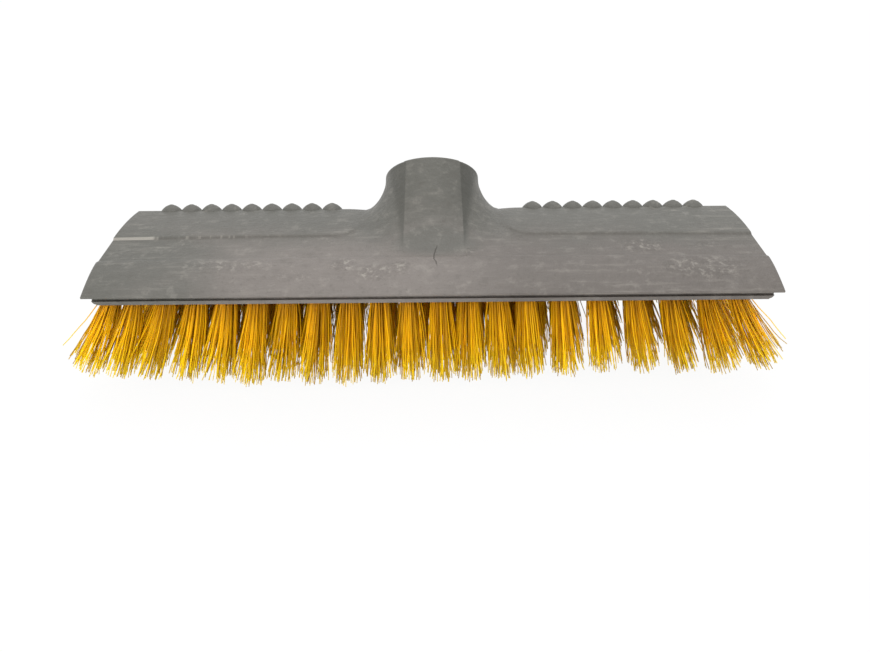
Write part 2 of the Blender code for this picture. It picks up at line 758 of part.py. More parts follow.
def main():
    clear_scene()
    pieces = new_collection("broom_head")
    cutters = new_collection("cutters")
    frame = bpy.data.objects.new("head_frame", None)
    frame.location = FRAME_OFFSET
    pieces.objects.link(frame)
    grey = make_material("grey_plastic", (0.225, 0.215, 0.195), 0.55)
    yellow = make_material("yellow_bristle", (0.72, 0.40, 0.03), 0.4)
    build_block(pieces, cutters, frame, grey)
    dice = random.Random(STRAND_SEED)
    build_front_tufts(pieces, cutters, frame, yellow, dice)
    build_rear_tufts(pieces, cutters, frame, yellow, dice)
    bpy.context.view_layer.update()


main()
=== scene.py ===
# Broom head: a grey moulded block with a tilted handle socket, rear teeth and yellow bristles.
# Metres. Section values run back from the front lip (y) and up from the lip's top corner (z).

import math
import random

import bmesh
import bpy
from mathutils import Matrix, Vector


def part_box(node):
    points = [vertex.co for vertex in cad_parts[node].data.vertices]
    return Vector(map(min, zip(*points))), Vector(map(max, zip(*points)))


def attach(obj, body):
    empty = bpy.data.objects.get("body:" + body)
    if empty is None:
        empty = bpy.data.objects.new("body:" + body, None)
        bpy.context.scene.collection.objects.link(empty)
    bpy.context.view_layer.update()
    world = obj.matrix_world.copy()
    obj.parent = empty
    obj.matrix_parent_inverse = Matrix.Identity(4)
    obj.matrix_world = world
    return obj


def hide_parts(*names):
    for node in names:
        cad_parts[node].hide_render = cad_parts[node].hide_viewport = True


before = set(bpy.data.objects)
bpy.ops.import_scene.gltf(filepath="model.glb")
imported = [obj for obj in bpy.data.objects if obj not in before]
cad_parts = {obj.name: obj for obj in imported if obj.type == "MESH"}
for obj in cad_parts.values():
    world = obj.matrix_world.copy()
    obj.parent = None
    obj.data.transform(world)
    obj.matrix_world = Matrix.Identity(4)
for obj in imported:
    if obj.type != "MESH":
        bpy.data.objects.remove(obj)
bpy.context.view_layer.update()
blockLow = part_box("head_block")[0]


# Node helpers, the same for geometry trees and materials

class Value:
    # An output in a node tree that adds, subtracts, multiplies and divides like a number

    def __init__(self, tree, socket):
        self.tree = tree
        self.socket = socket

    def __add__(self, other):
        return calc("ADD", self, other)

    def __sub__(self, other):
        return calc("SUBTRACT", self, other)

    def __rsub__(self, other):
        return calc("SUBTRACT", other, self)

    def __mul__(self, other):
        return calc("MULTIPLY", self, other)

    def __truediv__(self, other):
        return calc("DIVIDE", self, other)

    def __pow__(self, other):
        return calc("POWER", self, other)


def feed(tree, node, inputs):
    for label, value in inputs.items():
        if isinstance(value, Value):
            tree.links.new(value.socket, node.inputs[label])
        else:
            node.inputs[label].default_value = value


def addNode(tree, kind, inputs, **settings):
    node = tree.nodes.new(kind)
    for label, value in settings.items():
        setattr(node, label, value)
    feed(tree, node, inputs)
    return node


def outputOf(tree, kind, label, inputs, **settings):
    return Value(tree, addNode(tree, kind, inputs, **settings).outputs[label])


def joined(values, kind, **settings):
    # A node that takes the values in their order, in the tree of the first that has one
    tree = [value.tree for value in values if isinstance(value, Value)][0]
    return outputOf(tree, kind, 0, dict(enumerate(values)), **settings)


def calc(operation, *values):
    return joined(values, "ShaderNodeMath", operation=operation)


def combine(x, y, z):
    return joined((x, y, z), "ShaderNodeCombineXYZ")


def separate(vector):
    node = addNode(vector.tree, "ShaderNodeSeparateXYZ", {0: vector})
    return [Value(vector.tree, socket) for socket in node.outputs]


def vecCalc(operation, first, second=None):
    inputs = {0: first}
    if second is not None:
        inputs["Scale" if operation == "SCALE" else 1] = second
    label = "Value" if operation == "LENGTH" else "Vector"
    return outputOf(first.tree, "ShaderNodeVectorMath", label, inputs, operation=operation)


def smoothBetween(value, low, high):
    inputs = {"Value": value, "From Min": low, "From Max": high}
    return outputOf(value.tree, "ShaderNodeMapRange", "Result", inputs, interpolation_type="SMOOTHSTEP")


def noiseAt(vector, scale, detail, roughness=0.55):
    inputs = {"Vector": vector, "Scale": scale, "Detail": detail, "Roughness": roughness}
    return outputOf(vector.tree, "ShaderNodeTexNoise", 0, inputs)


def mixColor(factor, first, second):
    inputs = {0: factor, 6: first, 7: second}
    return outputOf(factor.tree, "ShaderNodeMix", 2, inputs, data_type="RGBA")


def bumpFrom(height, strength, distance):
    inputs = {"Height": height, "Strength": strength, "Distance": distance}
    return outputOf(height.tree, "ShaderNodeBump", 0, inputs)


def newMaterial(name):
    material = bpy.data.materials.new(name)
    material.use_nodes = True
    tree = material.node_tree
    return material, tree, tree.nodes["Principled BSDF"]


def blendShader(tree, shader, share, other):
    # Lets the other shader replace the given share of the material's own
    inputs = {0: share, 1: Value(tree, shader.outputs[0]), 2: other}
    blend = outputOf(tree, "ShaderNodeMixShader", 0, inputs)
    feed(tree, tree.nodes["Material Output"], {"Surface": blend})


# Mesh helpers

samePlace = 0.000001


def newObject(name, data):
    made = bpy.data.objects.new(name, data)
    bpy.context.scene.collection.objects.link(made)
    return made


def addPiece(name, bm, material=None):
    bmesh.ops.recalc_face_normals(bm, faces=bm.faces)
    if bm.calc_volume(signed=True) < 0.0:
        bmesh.ops.reverse_faces(bm, faces=bm.faces)
    mesh = bpy.data.meshes.new(name)
    bm.to_mesh(mesh)
    bm.free()
    if material:
        mesh.materials.append(material)
    return newObject(name, mesh)


def bakeModifiers(piece, smoothAngle):
    evaluated = piece.evaluated_get(bpy.context.evaluated_depsgraph_get())
    mesh = bpy.data.meshes.new_from_object(evaluated)
    piece.modifiers.clear()
    piece.data = mesh
    mesh.name = piece.name
    mesh.shade_smooth()
    mesh.set_sharp_from_angle(angle=math.radians(smoothAngle))
    return piece


def splitQuads(bm):
    bmesh.ops.triangulate(bm, faces=[face for face in bm.faces if len(face.verts) > 3])
    return bm


def boxMesh(low, high, rearRound=0.0):
    low = Vector(low)
    high = Vector(high)
    bm = bmesh.new()
    bmesh.ops.create_cube(bm, size=1.0)
    bm.transform(Matrix.Translation((low + high) / 2) @ Matrix.Diagonal((*(high - low), 1.0)))
    if rearRound > 0.0:
        edges = [edge for edge in bm.edges
                 if min(vertex.co.y for vertex in edge.verts) > high.y - samePlace]
        bmesh.ops.bevel(bm, geom=edges, offset=rearRound, segments=4, profile=0.5, affect="EDGES")
    return bm


def mergeInto(target, part):
    # Adds one bmesh to another by way of a plain mesh
    mesh = bpy.data.meshes.new("part")
    part.to_mesh(mesh)
    part.free()
    target.from_mesh(mesh)
    bpy.data.meshes.remove(mesh)


def tubeMesh(rings):
    # Joins rings of points and closes both ends
    bm = bmesh.new()
    rows = [[bm.verts.new(point) for point in ring] for ring in rings]
    for low, high in zip(rows, rows[1:]):
        for k in range(len(low)):
            following = (k + 1) % len(low)
            bm.faces.new((low[k], low[following], high[following], high[k]))
    bm.faces.new(rows[0])
    bm.faces.new(rows[-1])
    return bm


def combineInto(target, tools, operation):
    for tool in tools:
        modifier = target.modifiers.new(tool.name, "BOOLEAN")
        modifier.operation = operation
        modifier.solver = "EXACT"
        modifier.object = tool


# The block: a crowned front crest, a level band, two raised rear pads and a shallower lower body

block = {
    "length": 0.250,
    "depth": 0.0674,
    "lipThickness": 0.0012,
    "lipTopDrop": 0.0004,
    "edgeRound": 0.00032,
    "endSplay": 0.0006,  # how much further out each end lies at the rear
    "crestY": 0.0181,
    "crestHeight": 0.0044,
    "bandStartY": 0.0209,
    "bandHeight": 0.0034,
    "padStartY": 0.0382,
    "padHeight": 0.0041,
    "padStep": 0.00075,
    "padEdgeY": 0.0373,
    "padInnerX": 0.0296,
    "padCorner": 0.0080,
    "padEdgeSoftness": 0.0007,
    "padInnerFade": 0.0060,
    "padInnerFadeY": (0.003, 0.014),  # how far behind the pad's front edge it grows soft
    "crownDrop": 0.23,
    "rollWidth": (0.0042, 0.0012),  # of the rounded ends, at the lip and at the crest
    "rollDrop": (0.50, 0.12),
    "gridX": 0.0020,  # steps of the surface grid, with finer zones as (low, high, step)
    "fineX": ((0.0275, 0.0400, 0.0006), (0.1190, 0.1250, 0.0004)),
    "gridY": 0.0011,
    "fineY": ((0.0, 0.0020, 0.0004), (0.0165, 0.0220, 0.0004), (0.0362, 0.0384, 0.00015),
              (0.0384, 0.0460, 0.0006)),
    "bodyEndInset": 0.0020,
    "bodyFrontInset": 0.0024,
    "bodyDepth": 0.0053,
    "bodyEmbed": 0.0008,
    "bodyCorner": 0.0018,
    "bodyCornerSteps": 8,
    "bodyRound": 0.0006,
    "grooveDepth": 0.0012,
    "grooveUnderLip": 0.0002,
    "grooveOverBottom": 0.0015,
    "grooveOverrun": 0.001,
    "smoothAngle": 34.0,
}

lipFront = blockLow.y
lipLevel = blockLow.z + block["bodyDepth"]
halfLength = block["length"] / 2
toWorld = Matrix.Translation((0.0, lipFront, lipLevel))


def smoothStep(value, low, high):
    share = min(max((value - low) / (high - low), 0.0), 1.0)
    return share * share * (3.0 - 2.0 * share)


def groundHeight(y):
    crestFall = (block["crestY"] - min(y, block["crestY"])) / block["crestY"]
    front = block["crestHeight"] - (block["crestHeight"] + block["lipTopDrop"]) * crestFall ** 2
    front -= (block["crestHeight"] - block["bandHeight"]) * smoothStep(y, block["crestY"],
                                                                       block["bandStartY"])
    if y < block["padStartY"]:
        return front
    back = (min(y, block["depth"]) - block["padStartY"]) / (block["depth"] - block["padStartY"])
    return block["bandHeight"] - block["padHeight"] * back ** 2


def padShare(x, y):
    corner = block["padCorner"]
    across = block["padInnerX"] + corner - abs(x)
    ahead = block["padEdgeY"] + corner - y
    if across > 0.0 and ahead > 0.0:
        outside = math.hypot(across, ahead) - corner
    else:
        outside = max(across, ahead) - corner
    # The inner edge runs out softly behind its round corner
    soft = block["padEdgeSoftness"]
    soft += block["padInnerFade"] * smoothStep(y - block["padEdgeY"], *block["padInnerFadeY"])
    return 1.0 - smoothStep(outside, -soft, soft)


def topHeight(x, y):
    height = groundHeight(y) + block["padStep"] * padShare(x, y)
    if height > 0.0:
        height *= 1.0 - block["crownDrop"] * (x / halfLength) ** 2
    along = min(y / block["crestY"], 1.0)
    width, drop = [low + (high - low) * along for low, high in (block["rollWidth"], block["rollDrop"])]
    drop *= 1.0 - smoothStep(y, block["crestY"], block["bandStartY"])
    share = min(max((abs(x) - halfLength + width) / width, 0.0), 1.0)
    return height - max(height, 0.0) * drop * (1.0 - math.sqrt(1.0 - share * share))


def stations(start, end, coarse, fineZones):
    # Even coarse steps, with finer ones inside each (low, high, step) zone
    places = [start]
    while places[-1] < end - samePlace:
        here = places[-1]
        step = coarse
        for low, high, fine in fineZones:
            if low - coarse < here < high:
                step = fine
        places.append(min(here + step, end))
    if places[-1] - places[-2] < 10 * samePlace:
        del places[-2]
    return places


def slabSurface():
    edge = block["edgeRound"]
    half = stations(0.0, halfLength - edge, block["gridX"], block["fineX"])
    xs = [-place for place in reversed(half[1:])] + half
    return xs, stations(edge, block["depth"] - edge, block["gridY"], block["fineY"])


def splayed(x, y):
    return x * (1.0 + block["endSplay"] / halfLength * y / block["depth"])


def slabMesh():
    xs, ys = slabSurface()
    edge = block["edgeRound"]
    bm = bmesh.new()
    grid = [[bm.verts.new((splayed(x, y), y, topHeight(x, y))) for y in ys] for x in xs]
    for left, right in zip(grid, grid[1:]):
        for j in range(len(ys) - 1):
            bm.faces.new((left[j], right[j], right[j + 1], left[j + 1]))
    lastX = len(xs) - 1
    lastY = len(ys) - 1
    border = [(i, 0) for i in range(lastX)] + [(lastX, j) for j in range(lastY)]
    border += [(i, lastY) for i in range(lastX, 0, -1)] + [(0, j) for j in range(lastY, 0, -1)]
    rim = []
    for i, j in border:
        outward = Vector(((i == lastX) - (i == 0), (j == lastY) - (j == 0), 0.0))
        rim.append((grid[i][j], outward))
    bottom = -block["lipThickness"]
    loops = [[vertex for vertex, outward in rim]]
    for angle in (30, 60, 90):
        turn = math.radians(angle)
        step = Vector((0.0, 0.0, -edge * (1.0 - math.cos(turn))))
        loops.append([bm.verts.new(vertex.co + outward * edge * math.sin(turn) + step)
                      for vertex, outward in rim])
    for inset, level in ((0.0, bottom + edge), (0.3, bottom + edge * 0.3), (1.0, bottom)):
        ring = []
        for (vertex, outward), above in zip(rim, loops[-1]):
            spot = vertex.co + outward * edge * (1.0 - inset)
            ring.append(bm.verts.new((spot.x, spot.y, min(level, above.co.z - 0.00001))))
        loops.append(ring)
    for upper, lower in zip(loops, loops[1:]):
        for k in range(len(upper)):
            following = (k + 1) % len(upper)
            bm.faces.new((upper[k], lower[k], lower[following], upper[following]))
    bm.faces.new(loops[-1])
    return splitQuads(bm)


def bodyMesh():
    # Full round corners below its two ends, and a finer rounding all along front and back
    reach = halfLength - block["bodyEndInset"]
    bottom = -block["bodyDepth"]
    top = -block["lipThickness"] + block["bodyEmbed"]
    corner = block["bodyCorner"]
    steps = block["bodyCornerSteps"]
    outline = [(-reach, top)]
    for side in (-1, 1):
        for step in range(steps + 1):
            turn = math.pi / 2 * (step if side < 0 else steps - step) / steps
            outline.append((side * (reach - corner + corner * math.cos(turn)),
                            bottom + corner - corner * math.sin(turn)))
    outline.append((reach, top))
    ends = (block["bodyFrontInset"], block["depth"] - block["bodyFrontInset"])
    bm = tubeMesh([[(x, y, z) for x, z in outline] for y in ends])
    edges = [edge for edge in bm.edges if edge.verts[0].co.y == edge.verts[1].co.y
             and min(vertex.co.z for vertex in edge.verts) < top - samePlace]
    bmesh.ops.bevel(bm, geom=edges, offset=block["bodyRound"], segments=4, profile=0.5,
                    affect="EDGES")
    bmesh.ops.recalc_face_normals(bm, faces=bm.faces)
    return splitQuads(bm)


def grooveMesh():
    # Runs along the body's front, between the lip and the body's lower edge
    past = block["grooveOverrun"]
    bm = boxMesh((-halfLength - past, block["bodyFrontInset"] - past,
                  block["grooveOverBottom"] - block["bodyDepth"]),
                 (halfLength + past, block["bodyFrontInset"] + block["grooveDepth"],
                  -block["lipThickness"] - block["grooveUnderLip"]))
    return splitQuads(bm)


# The rail under the rear edge, which the teeth stand on

teeth = {
    "perSide": 9,
    "firstX": 0.0430,
    "endMargin": 0.01304,
    "footOverlap": 0.0005,
    "height": 0.0042,
    "root": 0.0024,
    "profile": ((0.0, 1.0), (0.42, 0.99), (0.60, 0.89), (0.80, 0.64), (0.93, 0.37), (1.0, 0.12)),
    "sides": 24,
    "rings": 10,
    "tilt": 20.0,
    "forward": -0.0010,
    "drop": 0.0022,
    "railBehind": 0.0046,
    "railTopDrop": 0.0034,
    "railHeight": 0.0018,
    "railOverlap": 0.0040,
    "railRound": 0.0006,
    "backingEnds": 0.0002,
    "backingFront": 0.0030,
    "backingInset": 0.0006,
    "backingEmbed": 0.0004,
    "smoothAngle": 60.0,
}

toothPitch = (halfLength - teeth["endMargin"] - teeth["firstX"]) / (teeth["perSide"] - 1)


def boxesUnderTeeth(front, back, bottom, top, inset=0.0, rearRound=0.0):
    # One box on each side of the socket, as long as the row of teeth
    inner = teeth["firstX"] - toothPitch / 2 + inset
    outer = inner + toothPitch * teeth["perSide"] - 2 * inset
    bm = bmesh.new()
    for side in (-1, 1):
        near, far = sorted((side * inner, side * outer))
        mergeInto(bm, boxMesh((near, front, bottom), (far, back, top), rearRound))
    return splitQuads(bm)


def railMesh():
    return boxesUnderTeeth(block["depth"] - teeth["railOverlap"], block["depth"] + teeth["railBehind"],
                           -teeth["railTopDrop"] - teeth["railHeight"], -teeth["railTopDrop"],
                           rearRound=teeth["railRound"])


def backingMesh():
    # Fills the corner between rail, body and lip, in front of the teeth
    return boxesUnderTeeth(block["depth"] - teeth["backingFront"], block["depth"] - teeth["backingInset"],
                           -teeth["railTopDrop"] - teeth["railHeight"] / 2,
                           -block["lipThickness"] + teeth["backingEmbed"], teeth["backingEnds"])


# The socket: a tilted tube that flares out into the block, with a raised front panel

socket = {
    "tilt": math.radians(49.0),
    "radius": 0.0194,
    "rimY": 0.0713,
    "rimZ": 0.0123,
    "rimRound": 0.0008,
    "rimRoundSteps": 5,
    "blend": 0.0095,
    "blendSideGain": 0.0055,
    "blendRear": 0.0035,
    "blendSunk": 0.0007,
    "blendRimGap": 0.0005,
    "blendFade": 0.0060,
    "baseStep": 0.0006,
    "sink": 0.0002,
    "panelAngle": 33.5,
    "panelEdge": 2.0,
    "panelRise": 0.0004,
    "settlePasses": 10,  # rounds that find where the tube meets the curved top
    "sides": 180,
    "blendRings": 26,
    "tubeRings": 14,
    "boreRadius": 0.0125,
    "boreFloor": 0.0020,
    "boreLeadIn": 0.0007,
    "boreAbove": 0.01,
    "boreBelow": 0.06,
    "boreSides": 96,
}

axis = Vector((0.0, math.sin(socket["tilt"]), math.cos(socket["tilt"])))
rimCentre = Vector((0.0, socket["rimY"], socket["rimZ"]))


def blendRadius(angle):
    # The fillet is widest at the socket's sides, and runs out behind them
    beside = math.sin(angle) ** 2
    widest = socket["blend"] + socket["blendSideGain"]
    if abs(angle) > math.pi / 2:
        return socket["blendRear"] + (widest - socket["blendRear"]) * beside ** 2
    return socket["blend"] + socket["blendSideGain"] * beside


def socketPoint(angle, height, fixedZ=None):
    halfDepth = socket["radius"] / math.cos(socket["tilt"])
    slope = math.tan(socket["tilt"])
    blend = blendRadius(angle)
    z = height + block["bandHeight"]
    y = 0.0
    for settle in range(socket["settlePasses"]):
        y = socket["rimY"] + (z - socket["rimZ"]) * slope - halfDepth * math.cos(angle)
        z = height + groundHeight(max(y, 0.0))
    if fixedZ is not None:
        z = fixedZ
        y = socket["rimY"] + (z - socket["rimZ"]) * slope - halfDepth * math.cos(angle)
    point = Vector((socket["radius"] * math.sin(angle), y, z))
    outward = Vector((math.sin(angle), -math.cos(angle) * math.cos(socket["tilt"]), 0.0)).normalized()
    sunk = socket["blendSunk"] * math.sin(angle) ** 2
    rise = blend - min(max(height + sunk, 0.0), blend)
    offset = blend - math.sqrt(blend ** 2 - rise ** 2)
    offset *= smoothStep((rimCentre - point).dot(axis), socket["blendRimGap"],
                         socket["blendRimGap"] + socket["blendFade"])
    turned = abs(math.degrees(angle))
    offset += socket["panelRise"] * (1.0 - smoothStep(turned, socket["panelAngle"],
                                                      socket["panelAngle"] + socket["panelEdge"]))
    return point + outward * offset


def ringHeight(angle, step):
    # Even angles up the fillet's arc, then even steps of tube
    blend = blendRadius(angle)
    if step <= socket["blendRings"]:
        return blend * (1 - math.cos(math.pi / 2 * step / socket["blendRings"]))
    top = socket["rimZ"] + socket["radius"]
    return blend + (top - blend) * (step - socket["blendRings"]) / socket["tubeRings"]


def stopAtRim(point):
    # Slides a point that stands past the rim's rounding back along the tube
    depth = (rimCentre - point).dot(axis)
    return point + axis * min(depth - socket["rimRound"], 0.0)


def rimRing(ring, turn):
    # One step of the rim's rounding: up along the tube and in towards its axis
    rounded = []
    for point in ring:
        inward = (rimCentre - point) - axis * (rimCentre - point).dot(axis)
        step = axis * math.sin(turn) + inward.normalized() * (1.0 - math.cos(turn))
        rounded.append(point + step * socket["rimRound"])
    return rounded


def socketMesh():
    angles = [-math.pi + 2 * math.pi * k / socket["sides"] for k in range(socket["sides"])]
    base = socket["baseStep"] - block["bodyDepth"]
    roundSteps = socket["rimRoundSteps"]
    rings = [[stopAtRim(socketPoint(angle, 0.0, base)) for angle in angles]]
    rings.append([stopAtRim(socketPoint(angle, -socket["sink"])) for angle in angles])
    for step in range(1, socket["blendRings"] + socket["tubeRings"] + 1):
        rings.append([stopAtRim(socketPoint(angle, ringHeight(angle, step))) for angle in angles])
    rings += [rimRing(rings[-1], math.pi / 2 * step / roundSteps) for step in range(1, roundSteps + 1)]
    bm = tubeMesh(rings)
    bmesh.ops.remove_doubles(bm, verts=bm.verts, dist=2 * samePlace)
    bmesh.ops.recalc_face_normals(bm, faces=bm.faces)
    return splitQuads(bm)


def boreMesh():
    lead = socket["boreLeadIn"]
    radius = socket["boreRadius"]
    sides = socket["boreSides"]
    profile = [(radius + lead, socket["boreAbove"]), (radius + lead, 0.0),
               (radius + lead * 0.35, -lead * 0.35), (radius, -lead), (radius, -socket["boreBelow"])]
    side = Vector((1.0, 0.0, 0.0))
    front = axis.cross(side)
    rings = []
    for wide, along in profile:
        middle = rimCentre + axis * along
        turns = [2 * math.pi * k / sides for k in range(sides)]
        rings.append([middle + (side * math.cos(turn) + front * math.sin(turn)) * wide for turn in turns])
    bm = tubeMesh(rings)
    bmesh.ops.recalc_face_normals(bm, faces=bm.faces)
    # The bore ends on a flat floor above the block's underside
    cut = bmesh.ops.bisect_plane(bm, geom=bm.verts[:] + bm.edges[:] + bm.faces[:], clear_outer=True,
                                 plane_co=(0.0, 0.0, socket["boreFloor"] - block["bodyDepth"]),
                                 plane_no=(0.0, 0.0, -1.0))
    loop = [item for item in cut["geom_cut"] if isinstance(item, bmesh.types.BMEdge)]
    bmesh.ops.edgeloop_fill(bm, edges=loop)
    return splitQuads(bm)


# Tuft places: five rows of drilled holes, none under the bore

tufts = {
    "rows": 5,
    "firstMargin": 0.0074,
    "lastMargin": 0.0137,
    "gaps": ((1, 0.0087), (10, 0.0112), (3, 0.0104), (5, 0.0132), (1, 0.0113)),
    "firstY": 0.0082,
    "rowPitch": 0.0128,
    "rowFan": 0.029,
    "centreX": 0.007,
    "centreFade": (0.016, 0.042),
    "centreShift": (0.0, 0.0040, 0.0030, 0.0030, 0.0055),
    "leftFade": (0.020, 0.045),
    "leftShift": (0.0, 0.0, 0.0, 0.0, 0.0050),
    "endClear": 0.0130,
    "boreClear": 0.0177,
    "holeRadius": 0.0035,
    "holeDepth": 0.0033,
    "holeOverrun": 0.002,
    "holeSides": 20,
}


def columnPlaces():
    # The drilled pitch changes along the row, and it stretches with the block
    room = block["length"] - tufts["firstMargin"] - tufts["lastMargin"]
    stretch = room / sum(count * gap for count, gap in tufts["gaps"])
    places = [tufts["firstMargin"] - halfLength]
    for count, gap in tufts["gaps"]:
        for step in range(count):
            places.append(places[-1] + gap * stretch)
    return places


def nearCentre(x):
    return 1.0 - smoothStep(abs(x - tufts["centreX"]), *tufts["centreFade"])


def rowShift(row, x):
    # Rear rows stand between the front tufts in the middle, and the last row on the left too
    left = smoothStep(-x, *tufts["leftFade"])
    return tufts["centreShift"][row] * nearCentre(x) + tufts["leftShift"][row] * left


def rowPlaces(row):
    # Rows fan out towards the rear, and leave out what would miss the block or meet the bore
    y = tufts["firstY"] + tufts["rowPitch"] * row
    widest = halfLength - tufts["endClear"]
    clear = tufts["boreClear"] if row > 1 else 0.0
    spread = [x * (1.0 + tufts["rowFan"] * row) + rowShift(row, x) for x in columnPlaces()]
    return [(x, y) for x in spread if row == 0 or clear < abs(x) < widest]


def holeMesh():
    over = tufts["holeOverrun"]
    middle = -block["bodyDepth"] + tufts["holeDepth"] / 2 - over / 2
    bm = bmesh.new()
    for row in range(tufts["rows"]):
        for x, y in rowPlaces(row):
            bmesh.ops.create_cone(bm, cap_ends=True, segments=tufts["holeSides"],
                                  radius1=tufts["holeRadius"], radius2=tufts["holeRadius"],
                                  depth=tufts["holeDepth"] + over,
                                  matrix=Matrix.Translation((x, y, middle)))
    return splitQuads(bm)


# Grey plastic: its tone, flow marks, scuff marks, wear, painted shade and painted highlights all follow the
# place on the block

greyLook = {
    "warm": (0.176, 0.156, 0.141, 1.0),
    "green": (0.101, 0.099, 0.086, 1.0),
    "dim": (0.124, 0.109, 0.097, 1.0),
    "pale": (0.46, 0.43, 0.38, 1.0),
    "dark": (0.075, 0.067, 0.055, 1.0),
    # Colour of the painted shade on the socket's flanks
    "flankShadeColor": (0.062, 0.061, 0.051, 1.0),
    "leftFade": (0.035, 0.125),
    "rearFade": (0.012, 0.055),
    "rightFade": (0.008, 0.050),
    "cloudNoise": (34.0, 4.0),  # each noise as (scale, detail, roughness)
    "cloudDrift": 0.03,
    "flowStretch": (50.0, 380.0, 380.0),
    "flowNoise": (1.0, 6.0, 0.68),
    "streakNoise": (15.0, 2.0),
    "streakFade": (0.38, 0.62),
    "mottleNoise": (190.0, 4.0, 0.7),
    "grainNoise": (900.0, 2.0),
    "wrinkleNoise": (330.0, 6.0, 0.62),
    "marks": (("streak", 0.50, 0.66, 0.15, "pale"), ("flow", 0.47, 0.30, 0.20, "dark"),
              ("mottle", 0.52, 0.70, 0.12, "pale"), ("mottle", 0.46, 0.30, 0.24, "dark"),
              ("grain", 0.62, 0.72, 0.30, "dark")),
    "relief": {"flow": 0.7, "grain": 0.3, "mottle": 0.5, "wrinkle": 4.0, "crack": 1.5},
    "wrinkleSpread": (1.2, 0.45),  # where the block is rubbed, and everywhere
    "roughness": 0.44,
    "flowRoughness": 0.12,
    "scuffRoughness": 0.1,
    "ior": 1.48,
    "bumpStrength": 0.8,
    "bumpDistance": 0.00042,
}


def nearSpot(x, y, spot):
    # 1 in the middle of an oval given in millimetres, falling to 0 at its edge
    middleX, middleY, halfWidth, halfDepth, strength = spot
    across = (x - middleX / 1000) / (halfWidth / 1000)
    back = (y - (lipFront + middleY / 1000)) / (halfDepth / 1000)
    reach = calc("SQRT", across * across + back * back)
    return smoothBetween(reach, 1.0, wear["ovalCore"]) * strength


# Marks of use, dirt, painted shade and painted highlights, with ovals as (middle x, middle y, half width,
# half depth, strength)
wear = {
    # Dirt and painted shadow around the base of the socket's front
    "footShadowAndDirt": (1.0, 30.0, 26.0, 12.0, 0.9),
    "ovalCore": 0.35,
    "scuffsAndHighlight": ((-21.0, 9.5, 10.0, 4.5, 0.70), (-33.0, 14.0, 6.0, 5.0, 0.65), (81.0, 28.0, 11.0, 6.0, 0.60),
               # The narrow spot at (13.8, 23.0) is a painted highlight at the base of the socket panel's
               # right edge; the others are scuffs
               (-74.0, 14.0, 22.0, 5.0, 0.40), (98.0, 12.0, 20.0, 8.0, 0.50), (13.8, 23.0, 1.6, 4.0, 0.35),
               (-12.0, 12.0, 4.5, 4.5, 0.60), (104.0, 29.0, 7.0, 3.0, 0.30), (-52.0, 8.0, 12.0, 3.0, 0.25)),
    "scuffStrength": 0.62,
    "scuffNoise": (380.0, 7.0, 0.72),
    "scuffFade": (0.49, 0.63),
    "scuffBase": 0.0010,
    "patchNoise": (22.0, 2.0),
    "patchFade": (0.58, 0.72),
    "patchStrength": 0.20,
    # Painted shade along the step in front of both pads
    "stepShadeLine": (0.0006, 0.0002, 0.0010),  # lines as (how far in front, half width, faded width)
    # Painted highlight along the left pad's front edge
    "edgeHighlightLine": (0.0002, 0.0004, 0.0010),
    # Strength and side fade of the painted shade on the step
    "padStepShade": 0.42,
    "padStepShadeFade": (0.003, 0.010),
    # The painted highlight: where it is whole, where its spots end, and its spots
    "edgeHighlightReach": (-0.1090, -0.0640),
    "edgeHighlightFade": (0.0010, 0.02),
    "edgeHighlightWhole": 0.55,
    "edgeHighlightSpots": 0.25,
    "edgeHighlightNoise": (420.0, 2.0),
    "edgeHighlightSpotFade": (0.50, 0.62),
    "crackStart": (2.2, 27.6),
    "crackLength": 16.0,
    "crackBow": -1.7,
    "crackRagged": 0.0012,
    "crackNoise": (500.0, 2.0),
    "crackWidth": (0.00025, 0.00008),
    "crackEnds": (0.003, 0.004),
    "crackBase": 0.001,
    "crackStrength": 0.8,
}


def rubbedPlacesAndHighlight(place, x, y):
    # Patches here and there, the places where the block has been scuffed, and one painted highlight at the
    # base of the socket panel's right edge
    patches = smoothBetween(noiseAt(place, *wear["patchNoise"]), *wear["patchFade"])
    rubbedAndHighlit = patches * wear["patchStrength"]
    for spot in wear["scuffsAndHighlight"]:
        rubbedAndHighlit = calc("MAXIMUM", rubbedAndHighlit, nearSpot(x, y, spot))
    return rubbedAndHighlit


def padEdge(y, behind, full, gone):
    # A line along the front edge of both pads
    across = calc("ABSOLUTE", y - (lipFront + block["padEdgeY"] - behind))
    return smoothBetween(across, gone, full)


def padStepShade(x, y):
    # Painted shade darkens the step in front of both pads
    low, high = [block["padInnerX"] + reach for reach in wear["padStepShadeFade"]]
    beside = smoothBetween(calc("ABSOLUTE", x), low, high) * wear["padStepShade"]
    return padEdge(y, *wear["stepShadeLine"]) * beside


def padEdgeHighlight(x, y):
    # Painted highlight along the left pad's front edge: whole at its end, and in spots further in
    full, spotted = wear["edgeHighlightReach"]
    short, long = wear["edgeHighlightFade"]
    whole = smoothBetween(x, full + short, full - short) * wear["edgeHighlightWhole"]
    spots = smoothBetween(noiseAt(combine(x, 0.0, 0.0), *wear["edgeHighlightNoise"]), *wear["edgeHighlightSpotFade"])
    inward = smoothBetween(x, spotted, spotted - long) * wear["edgeHighlightSpots"]
    return padEdge(y, *wear["edgeHighlightLine"]) * calc("MAXIMUM", whole, spots * inward)


